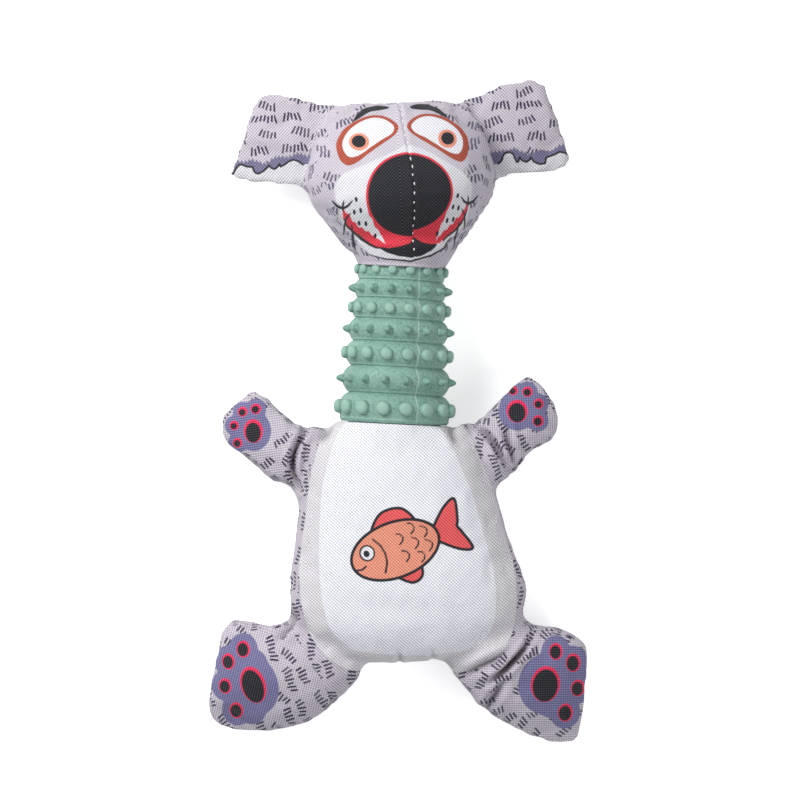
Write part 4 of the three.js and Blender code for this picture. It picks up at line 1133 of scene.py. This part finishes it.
def sew_head(rules):
    """Face, back and ears as one filled skin, then cut at the ear roots."""
    nodes = ["face_left_panel", "face_right_panel", "head_back_panel", "head_stuffing"]
    for ear in EARS:
        nodes += [ear + "_front_panel", ear + "_back_panel", ear + "_padding"]
    plugs = [plug_at(ear) for ear in EARS]
    skin = filled_skin("head_skin", nodes, plugs, voxel=2.3, rounds=12, seam_tilt=0.22, swell=1.8)
    mesh = skin.data
    points = points_of(mesh)
    normals = normals_of(mesh)
    local = head_places(points)
    seam_at = local[:, 0] - face_seam(local[:, 1])
    front = smoothstep(-0.1, 0.3, normals @ HEAD_AXES[2])
    ends = smoothstep(-15, -10, local[:, 1])
    move = sum(height * lumps(points, size, seed) for height, size, seed in HEAD_LUMPS)
    ridge, groove = (high * np.exp(-((seam_at / wide) ** 2)) for high, wide in (SEAM_RIDGE, SEAM_GROOVE))
    move += front * ends * (ridge - groove)
    move += seam_puckers(points, normals, slant=1.0, pitch=6.5, height=0.2, depth=0.35)
    points = points + normals * move[:, None] + sum(pull(points, *spot) for spot in HEAD_PULLS)
    crown = smoothstep(54, 64, local[:, 1]) * smoothstep(34, 22, np.abs(local[:, 0]))
    points = points + crown[:, None] * (CROWN_RISE * HEAD_AXES[1])
    place, radius = round_neck(points)
    above = place - RIM_HEAD
    outward = points - NECK_PIVOT - place[:, None] * NECK_ALONG
    forward = smoothstep(0.2, 0.9, outward[:, 2] / np.maximum(radius, 1))
    grow = np.clip(HEM_RADIUS + HEM_FRONT * forward + HEM_SLOPE * np.maximum(above, 0) - radius, 0, None)
    grow *= smoothstep(-1.4, -0.7, above + HEM_DROOP * forward) * smoothstep(15, 8, above)
    points = points + outward * (grow / np.maximum(radius, 1))[:, None]
    points[:, 2] = np.maximum(points[:, 2], TABLE_GAP)
    put_points(mesh, points)
    keep_values(mesh, "shading", normals_of(mesh))
    facing = even_out(mesh, normals @ HEAD_AXES[2])
    hidden = np.where(facing > -0.1, 0.0, NO_PRINT) + steep(facing)
    for key, values in face_print(local).items():
        keep_values(mesh, key, values + hidden + (steep(facing - 0.12) if key == "brow" else 0.0))
    left, right = (ear_print(points[:, :2], ear) for ear in EARS)
    for key in ("tip_band", "tip_line", "tip_hem"):
        keep_values(mesh, key, np.where(points[:, 0] < EARS_PART, left[key], right[key]))
    face = canvas("printed_canvas_face", rules, [
        ("plain", rules.faded, 2.0), ("muzzle", rules.muzzle, 0.5), ("eye_rim", rules.rust, SHARP),
        ("eye_white", rules.white, SHARP), ("eye_iris", rules.salmon, SHARP), ("eye_pupil", rules.ink, SHARP),
        ("brow", rules.ink, SHARP), ("under_lip", rules.ink, SHARP), ("red", rules.lip, SHARP),
        ("nose", rules.ink, SHARP), ("ink", rules.ink, SHARP),
    ], face=True)
    flap = canvas("printed_canvas_ear", rules, [
        ("tip_band", rules.band, 0.5), ("tip_hem", rules.hem, SHARP), ("tip_line", rules.ink, SHARP),
    ])
    roots = {ear: root_of(ear) for ear in EARS}
    cover = cover_of(mesh, "head_cover", [(at, out, -1) for at, out, _ in roots.values()], face,
                     mirror=HEAD_PIVOT[0])
    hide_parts("face_left_panel", "face_right_panel", "head_back_panel")
    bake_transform(cover)
    for ear in EARS:
        at, out, bend = roots[ear]
        piece = cover_of(mesh, ear + "_cover", [(at, out, 1)], flap, mirror=HEAD_PIVOT[0])
        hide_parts(ear + "_front_panel", ear + "_back_panel")
        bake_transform(piece)
    bpy.data.objects.remove(skin)


def ring_faces(rows, count, base=0, closed=False):
    """Faces between neighbouring rings of count points, and from the last one to the first if closed."""
    faces = []
    for r in range(rows if closed else rows - 1):
        low, up = base + r * count, base + (r + 1) % rows * count
        for k in range(count):
            n = (k + 1) % count
            faces.append((low + k, low + n, up + n, up + k))
    return faces


def full_turn(count):
    return np.linspace(0, 2 * math.pi, count, endpoint=False)


# Stitches of the face: gap between them, half lengths, stray to the side, half thickness, and how far their
# ends stand off the cloth and their middle more
STITCH_GAP = 4.2
STITCH_HALF = (0.6, 1.0)
STITCH_STRAY = 0.3
STITCH_THICK = 0.36
STITCH_ENDS, STITCH_RISE = 0.05, 0.18
STITCH_RINGS, STITCH_SIDES = 7, 8
# Where the stitched seam starts and ends along the head, and a height above the whole head
SEAM_START, SEAM_END = -12.0, 66.0
ABOVE_HEAD = 120


def stitch_face():
    """White lock stitches along the middle seam of the face."""
    cover = bpy.data.objects["head_cover"]
    tree = BVHTree.FromPolygons([v.co.copy() for v in cover.data.vertices],
                                [tuple(p.vertices) for p in cover.data.polygons])
    side, along, front = HEAD_AXES
    path = []
    for step in np.arange(SEAM_START, SEAM_END, 0.5):
        middle = HEAD_PIVOT + side * (face_seam(step) - 0.4) + along * (step + 0.3)
        hit, normal, _, _ = tree.ray_cast(Vector((middle + front * ABOVE_HEAD) * MM), Vector(-front))
        if hit is not None:
            path.append((np.array(hit) / MM, np.array(normal)))
    points, faces = [], []
    draw = np.random.default_rng(12)
    gap = 0.0
    last = path[0][0]
    for i in range(1, len(path) - 3):
        here, normal = path[i]
        gap += np.linalg.norm(here - last)
        last = here
        if gap < STITCH_GAP:
            continue
        gap = 0.0
        way = path[i + 2][0] - here
        way /= np.linalg.norm(way)
        across = np.cross(way, normal)
        half = draw.uniform(*STITCH_HALF)
        here = here + across * draw.uniform(-STITCH_STRAY, STITCH_STRAY)
        base = len(points)
        faces += ring_faces(STITCH_RINGS, STITCH_SIDES, base)
        for r in range(STITCH_RINGS):
            t = math.pi * (0.06 + 0.88 * r / (STITCH_RINGS - 1))
            up = STITCH_ENDS + STITCH_RISE * math.sin(t)
            centre = here + way * (-half * math.cos(t)) + normal * up
            thick = STITCH_THICK * math.sin(t) ** 0.6
            for a in full_turn(STITCH_SIDES):
                points.append(centre + thick * (across * math.cos(a) + normal * math.sin(a)))
        faces.append(tuple(base + k for k in reversed(range(STITCH_SIDES))))
        faces.append(tuple(range(len(points) - STITCH_SIDES, len(points))))
    mesh = mesh_of("face_stitches", points, faces)
    smooth_faces(mesh)
    mesh.materials.append(sewing_thread())
    stitches = link("face_stitches", mesh)
    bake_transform(stitches)


# Neck: its wall, and the round seats on the torso's collar and under the head

WALL = 3.4
FOOT_LIP = 26.3
FOOT_SEAT = 28.3
HEAD_SEAT = 24.3
FLASH_TURN = math.radians(24)


def turned(profile, columns, centre, along, across, front):
    """Points and faces of a closed ring of profile points (radius, place) turned about an axis."""
    outward = np.sin(columns)[:, None] * across + np.cos(columns)[:, None] * front
    points = []
    for radius, place in profile:
        ring = np.broadcast_to(np.asarray(radius, float), columns.shape)
        points.append(centre + place * along + ring[:, None] * outward)
    return np.concatenate(points), ring_faces(len(profile), len(columns), closed=True)


def closed_mesh(name, points, faces):
    mesh = mesh_of(name, points, faces)
    made = bmesh.new()
    made.from_mesh(mesh)
    bmesh.ops.recalc_face_normals(made, faces=made.faces[:])
    made.to_mesh(mesh)
    made.free()
    smooth_faces(mesh)
    return mesh


# Sides of a stud from its foot to its tip, as shares of its radius and height
DOME = ((1.0, 0.08), (0.98, 0.36), (0.91, 0.62), (0.76, 0.82), (0.53, 0.94), (0.26, 0.99))
SPIKE = ((1.0, 0.05), (0.9, 0.25), (0.76, 0.47), (0.61, 0.68), (0.44, 0.86), (0.22, 0.97))
STUD_SIDES = 26
# How much smaller the domes of the last rib are
DOME_TAPER = 0.33
STUD_ROOT = 1.3


def stud(sides, wide, tall, foot, out):
    """A dome or a spike that stands on a rib, with its root inside the rib, and how light each point is drawn:
    painted shade at the foot, painted light towards the tip.
    """
    turns = full_turn(STUD_SIDES)[:, None]
    ring = np.cos(turns) * NECK_ALONG + np.sin(turns) * np.cross(NECK_ALONG, out)
    levels = [(1.0, -STUD_ROOT)] + [(share, height * tall) for share, height in sides]
    points = np.concatenate([foot + out * height + ring * (wide * share) for share, height in levels])
    tip = len(points)
    last = range(tip - STUD_SIDES, tip)
    faces = [tuple(range(STUD_SIDES))] + ring_faces(len(levels), STUD_SIDES)
    faces += [(a, b, tip) for a, b in zip(last, [*last[1:], last[0]])]
    # Painted shade at the stud's foot, painted light towards its tip
    painted_stud_light = np.repeat([smoothstep(-0.1, 0.7, height / tall) for _, height in levels], STUD_SIDES)
    return np.concatenate([points, [foot + out * tall]]), faces, np.append(painted_stud_light, 1.0)


# Length of the first and last rib before they are fitted to the sleeve, and the points round and along a rib
RIB_FIRST, RIB_LAST = 14.6, 8.0
RIB_COLUMNS, RIB_ROWS = 144, 26
# The bead in each groove: its place after the groove, and after the lip, its half width and its height
BEAD_PLACE, BEAD_AT_LIP = 0.5, 1.5
BEAD_WIDTH, BEAD_HEIGHT = 0.42, 0.5
# Radius and height of the first domes and of all spikes, how deep they sit, and where the last rib's stand
DOME_SIZE, SPIKE_SIZE = (3.5, 3.1), (2.25, 3.7)
STUD_SINK = 0.15
LAST_STUDS = 0.62
# Given to what lies far from the flash line
NO_FLASH = 9.0


def mould_neck(rules):
    """A ribbed rubber sleeve with rings of domes and spikes in turn, and a fine bead in each groove."""
    low, high = RIM_FOOT, RIM_HEAD
    crest_foot, crest_head = rules.crest_foot / MM, rules.crest_head / MM
    groove_foot, groove_head = rules.groove_foot / MM, rules.groove_head / MM
    pitches = np.linspace(RIB_FIRST, RIB_LAST, rules.ribs)
    pitches *= (high - low) / pitches.sum()
    feet = low + np.concatenate([[0], np.cumsum(pitches)])
    crests = np.linspace(crest_foot, crest_head, rules.ribs)
    grooves = np.concatenate([[FOOT_LIP], np.linspace(groove_foot, groove_head, rules.ribs)])
    columns = full_turn(RIB_COLUMNS)
    even = np.arange(RIB_ROWS) / RIB_ROWS
    rows = 0.6 * even + 0.2 * (1 - np.cos(math.pi * even))
    profile, smooth_rows, flash_rows = [], [], []
    for i in range(rules.ribs):
        for s in rows:
            swell = max(0.0, 1 - abs(2 * s - 1) ** 2.1) ** 0.78
            base = grooves[i] + (grooves[i + 1] - grooves[i]) * s
            place = feet[i] + pitches[i] * s
            bead_at = BEAD_PLACE if i else BEAD_AT_LIP
            bead = math.exp(-(((pitches[i] * s - bead_at) / BEAD_WIDTH) ** 2))
            radius = base + (crests[i] - base) * swell + BEAD_HEIGHT * bead
            wave = FLASH_TURN + 0.008 * math.sin(place * 0.9) + 0.006 * math.sin(place * 0.37 + 1)
            profile.append((radius, place))
            smooth_rows.append(np.full(len(columns), 0.8 * bead))
            flash_rows.append(((columns - wave + math.pi) % (2 * math.pi) - math.pi) * radius)
    bore_foot, bore_head = groove_foot - WALL, groove_head - WALL
    top = np.linalg.norm(HEAD_PIVOT - NECK_PIVOT)
    inner = [(groove_head, high)]
    for y in np.linspace(high, top - math.sqrt(HEAD_SEAT**2 - bore_head**2), 5):
        inner.append((math.sqrt(HEAD_SEAT**2 - (top - y) ** 2), y))
    bore_top, bore_low = inner[-1][1], math.sqrt(FOOT_SEAT**2 - bore_foot**2)
    for t in (0.25, 0.5, 0.75, 1.0):
        inner.append((bore_head + (bore_foot - bore_head) * t, bore_top + (bore_low - bore_top) * t))
    inner += [(math.sqrt(FOOT_SEAT**2 - y**2), y) for y in np.linspace(bore_low - 1, low, 4)]
    points, faces = turned(profile + inner, columns, NECK_PIVOT, NECK_ALONG, NECK_ACROSS, UP)
    smooth_and_painted_light = [np.concatenate(smooth_rows), np.zeros(len(inner) * len(columns))]
    flash_part = [np.concatenate(flash_rows), np.full(len(inner) * len(columns), NO_FLASH)]
    points = [points]
    count = len(points[0])
    for i in range(rules.ribs):
        size = 1 - DOME_TAPER * i / (rules.ribs - 1)
        sides, (wide, tall) = (SPIKE, SPIKE_SIZE) if i % 2 else (DOME, [side * size for side in DOME_SIZE])
        middle = LAST_STUDS if i == rules.ribs - 1 else 0.5
        for k in range(rules.studs):
            turn = (k + 0.5) * 2 * math.pi / rules.studs
            out = math.sin(turn) * NECK_ACROSS + math.cos(turn) * UP
            foot = NECK_PIVOT + (feet[i] + pitches[i] * middle) * NECK_ALONG + (crests[i] - STUD_SINK) * out
            made, sewn, painted_stud_light = stud(sides, wide, tall, foot, out)
            faces += [tuple(corner + count for corner in face) for face in sewn]
            points.append(made)
            # Domes get painted light towards their tips and painted shade at their feet; spikes get painted shade
            smooth_and_painted_light.append(painted_stud_light if sides is DOME else -0.5 * painted_stud_light)
            flash_part.append(np.full(len(made), NO_FLASH))
            count += len(made)
    points = np.concatenate(points)
    mesh = closed_mesh("neck_sleeve_moulded", points, faces)
    keep_values(mesh, "stud", np.concatenate(smooth_and_painted_light))
    keep_values(mesh, "flash", np.concatenate(flash_part))
    keep_values(mesh, "rest", points)
    mesh.materials.append(moulded_rubber(rules))
    sleeve = link("neck_sleeve_moulded", mesh)
    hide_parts("neck_sleeve")
    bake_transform(sleeve)


# The neck's lining: its thickness, how far it ends inside its tube, and its pleats
LINING = 0.7
LINING_INSET = 1.5
PLEATS, PLEAT_DEPTH = 24, 0.25


def line_neck(rules):
    """The canvas tube inside the sleeve, gathered into shallow pleats."""
    place, radius = round_neck(points_of(frame["nodes"]["neck_tube"].data))
    low, high = place.min(), place.max()
    foot, head = radius[place < low + 6].max(), radius[place > high - 6].max()
    columns = full_turn(96)
    wavy = PLEAT_DEPTH * np.cos(columns * PLEATS)
    start, reach = low + LINING_INSET, high - low - 2 * LINING_INSET
    outer = [(foot + (head - foot) * t - LINING / 2 + wavy, start + reach * t) for t in np.linspace(0, 1, 12)]
    inner = [(r - LINING, y) for r, y in reversed(outer)]
    ring = turned(outer + inner, columns, NECK_PIVOT, NECK_ALONG, NECK_ACROSS, UP)
    mesh = closed_mesh("neck_lining", *ring)
    lay_cloth(mesh)
    mesh.materials.append(canvas("plain_canvas_lining", rules, []))
    lining = link("neck_lining", mesh)
    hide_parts("neck_tube")
    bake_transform(lining)


# Inside

# Fibre in the ears and elsewhere: voxel of its skin, and how far it lies inside its solid
THIN_FIBRE, THICK_FIBRE = (2.5, 0.5), (4.0, 1.2)


def pack_fibre():
    """A soft lump of fibre in each cover, which gives way under the folds."""
    fibre = fibre_fill()
    for number, node in enumerate(sorted(frame["nodes"])):
        if not node.endswith(("stuffing", "padding", "stuffing_front", "stuffing_back")):
            continue
        voxel, inward = THIN_FIBRE if node.endswith("padding") else THICK_FIBRE
        name = node.replace("stuffing", "fibre").replace("padding", "fibre")
        lump = skin_round(name, [node], [], voxel)
        ease(lump.data, 4)
        refine(lump, 1)
        points, normals = points_of(lump.data), normals_of(lump.data)
        move = 0.5 * inward * lumps(points, 11, number) - inward
        for path, width, depth in CREASES:
            move += np.minimum(crease(points, normals, path, 1.4 * width, depth)[0], 0)
        drawn = sum(pull(points, *spot) for spot in BODY_PULLS + HEAD_PULLS)
        points = points + normals * move[:, None] + drawn
        put_points(lump.data, points)
        smooth_faces(lump.data)
        lump.data.materials.append(fibre)
        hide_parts(node)
        body = BODY_OF[node]
        if body in LIMBS + EARS:
            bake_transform(lump)
        elif body == "neck":
            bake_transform(lump)
        else:
            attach(lump, body)


# The bellows: number of folds, half the depth of a fold, and the wall
BELLOWS_FOLDS = 3
FOLD_DIP = 1.5
BELLOWS_WALL = 1.0


def fit_squeaker():
    """The squeaker's moulded base, cap and reed, and its folding bellows."""
    shell = moulded_plastic("moulded_polyethylene", "#ece8dc")
    reed = moulded_plastic("moulded_reed_plastic", "#c64a41")
    for node, material in (("squeaker_base", shell), ("squeaker_cap", shell), ("squeaker_reed", reed)):
        obj = frame["nodes"][node]
        obj.data.materials.clear()
        obj.data.materials.append(material)
    low, high = (np.array(corner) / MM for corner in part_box("squeaker_bellows"))
    centre = np.array([(low[0] + high[0]) / 2, (low[1] + high[1]) / 2, low[2]])
    crest, height = (high[0] - low[0]) / 2, high[2] - low[2]
    profile = []
    for s in np.linspace(0, 1, 43):
        dip = FOLD_DIP + FOLD_DIP * math.cos(2 * math.pi * BELLOWS_FOLDS * s)
        profile.append((crest - dip, height * s))
    profile += [(r - BELLOWS_WALL, z) for r, z in reversed(profile)]
    ring = turned(profile, full_turn(72), centre, UP, np.array([1.0, 0, 0]), np.array([0, 1.0, 0]))
    mesh = closed_mesh("squeaker_bellows_blown", *ring)
    mesh.materials.append(shell)
    bellows = link("squeaker_bellows_blown", mesh)
    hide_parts("squeaker_bellows")
    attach(bellows, BODY_OF["squeaker_bellows"])
    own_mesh(bellows)


# Stage


def area_light(name, place, aim, size, power):
    data = bpy.data.lights.new(name, "AREA")
    data.shape = "DISK"
    data.size = size
    data.energy = power
    lamp = link(name, data)
    lamp.location = place
    lamp.rotation_euler = (Vector(aim) - Vector(place)).to_track_quat("-Z", "Y").to_euler()


# Half the sheet's width and the place under the camera in mm, what whitens the sheet, and the room's light
SHEET_REACH = 3000
VIEW_MIDDLE = (3.06, 74.9)
SHEET_GLOW = 0.62
SKY_STRENGTH = 0.28


def set_stage(rules):
    """A white sheet, two large soft lamps and a camera straight above."""
    scene = bpy.context.scene
    scene.view_settings.view_transform = "Standard"
    low, high = (np.array(corner) for corner in CAD_BOX)
    corners = [(x * SHEET_REACH, y * SHEET_REACH, 0) for x, y in ((-1, -1), (1, -1), (1, 1), (-1, 1))]
    floor_mesh = mesh_of("white_sheet", corners, [(0, 1, 2, 3)])
    floor = link("white_sheet", floor_mesh)
    material = bpy.data.materials.new("matt_white_paper")
    material.use_nodes = True
    tree = material.node_tree
    tree.nodes.clear()
    path = add(tree, "LightPath").outputs
    seen = add(tree, "Math", {0: path["Is Camera Ray"], 1: path["Is Glossy Ray"]}, operation="MAXIMUM")
    paper = add(tree, "BsdfDiffuse", {"Color": linear("#f4f4f4")})
    glow = add(tree, "Emission", {"Color": linear("#ffffff"), "Strength": SHEET_GLOW})
    both = add(tree, "AddShader", {0: paper, 1: glow})
    shown = add(tree, "MixShader", {0: seen, 1: paper, 2: both})
    add(tree, "OutputMaterial", {"Surface": shown})
    floor_mesh.materials.append(material)
    world = bpy.data.worlds.new("studio")
    world.use_nodes = True
    sky = {"Color": linear("#f4f6fb"), "Strength": SKY_STRENGTH}
    feed(world.node_tree, world.node_tree.nodes["Background"], sky)
    scene.world = world
    middle = ((low + high) / 2).tolist()
    area_light("soft_key", (-0.8, 0.95, 1.1), middle, 1.0, 25)
    area_light("soft_fill", (0.8, -0.6, 1.2), middle, 1.0, 8)
    data = bpy.data.cameras.new("camera")
    camera = link("camera", data)
    data.sensor_width = 36
    data.lens = data.sensor_width * (rules.distance - SEAM_HEIGHT * MM) / rules.view_width
    data.clip_end = 20
    camera.location = (*(place * MM for place in VIEW_MIDDLE), rules.distance)
    camera.rotation_euler = (0, 0, rules.view_turn)
    scene.camera = camera


# Add-on


class TOY_OT_body(bpy.types.Operator):
    """Sew and fill the torso and limb covers"""

    bl_idname = "toy.body"
    bl_label = "Torso and limbs"

    def execute(self, context):
        sew_body(context.scene.toy_cloth)
        return {"FINISHED"}


class TOY_OT_head(bpy.types.Operator):
    """Sew and fill the head and ear covers, with their stitches"""

    bl_idname = "toy.head"
    bl_label = "Head and ears"

    def execute(self, context):
        sew_head(context.scene.toy_cloth)
        stitch_face()
        return {"FINISHED"}


class TOY_OT_neck(bpy.types.Operator):
    """Mould the rubber neck and line it"""

    bl_idname = "toy.neck"
    bl_label = "Neck"

    def execute(self, context):
        mould_neck(context.scene.toy_rubber)
        line_neck(context.scene.toy_cloth)
        return {"FINISHED"}


class TOY_OT_fibre(bpy.types.Operator):
    """Pack every cover with fibre"""

    bl_idname = "toy.fibre"
    bl_label = "Fibre filling"

    def execute(self, context):
        pack_fibre()
        return {"FINISHED"}


class TOY_OT_squeaker(bpy.types.Operator):
    """Finish the squeaker in the belly"""

    bl_idname = "toy.squeaker"
    bl_label = "Squeaker"

    def execute(self, context):
        fit_squeaker()
        return {"FINISHED"}


class TOY_OT_stage(bpy.types.Operator):
    """Lay the sheet, hang the lamps and place the camera"""

    bl_idname = "toy.stage"
    bl_label = "Stage"

    def execute(self, context):
        set_stage(context.scene.toy_stage)
        return {"FINISHED"}


OPERATORS = (TOY_OT_body, TOY_OT_head, TOY_OT_neck, TOY_OT_fibre, TOY_OT_squeaker, TOY_OT_stage)


class TOY_PT_panel(bpy.types.Panel):
    bl_label = "Plush dog toy"
    bl_space_type = "VIEW_3D"
    bl_region_type = "UI"
    bl_category = "Toy"

    def draw(self, context):
        for operator in OPERATORS:
            self.layout.operator(operator.bl_idname)
        for group in (context.scene.toy_cloth, context.scene.toy_rubber, context.scene.toy_stage):
            for key in group.__annotations__:
                self.layout.prop(group, key)


CLASSES = (ToyCloth, ToyRubber, ToyStage) + OPERATORS + (TOY_PT_panel,)


def register():
    for item in CLASSES:
        bpy.utils.register_class(item)
    bpy.types.Scene.toy_cloth = PointerProperty(type=ToyCloth)
    bpy.types.Scene.toy_rubber = PointerProperty(type=ToyRubber)
    bpy.types.Scene.toy_stage = PointerProperty(type=ToyStage)


def unregister():
    del bpy.types.Scene.toy_stage
    del bpy.types.Scene.toy_rubber
    del bpy.types.Scene.toy_cloth
    for item in reversed(CLASSES):
        bpy.utils.unregister_class(item)


def main():
    register()
    bpy.ops.toy.body()
    bpy.ops.toy.head()
    bpy.ops.toy.neck()
    bpy.ops.toy.fibre()
    bpy.ops.toy.squeaker()
    bpy.ops.toy.stage()


if __name__ == "__main__":
    main()
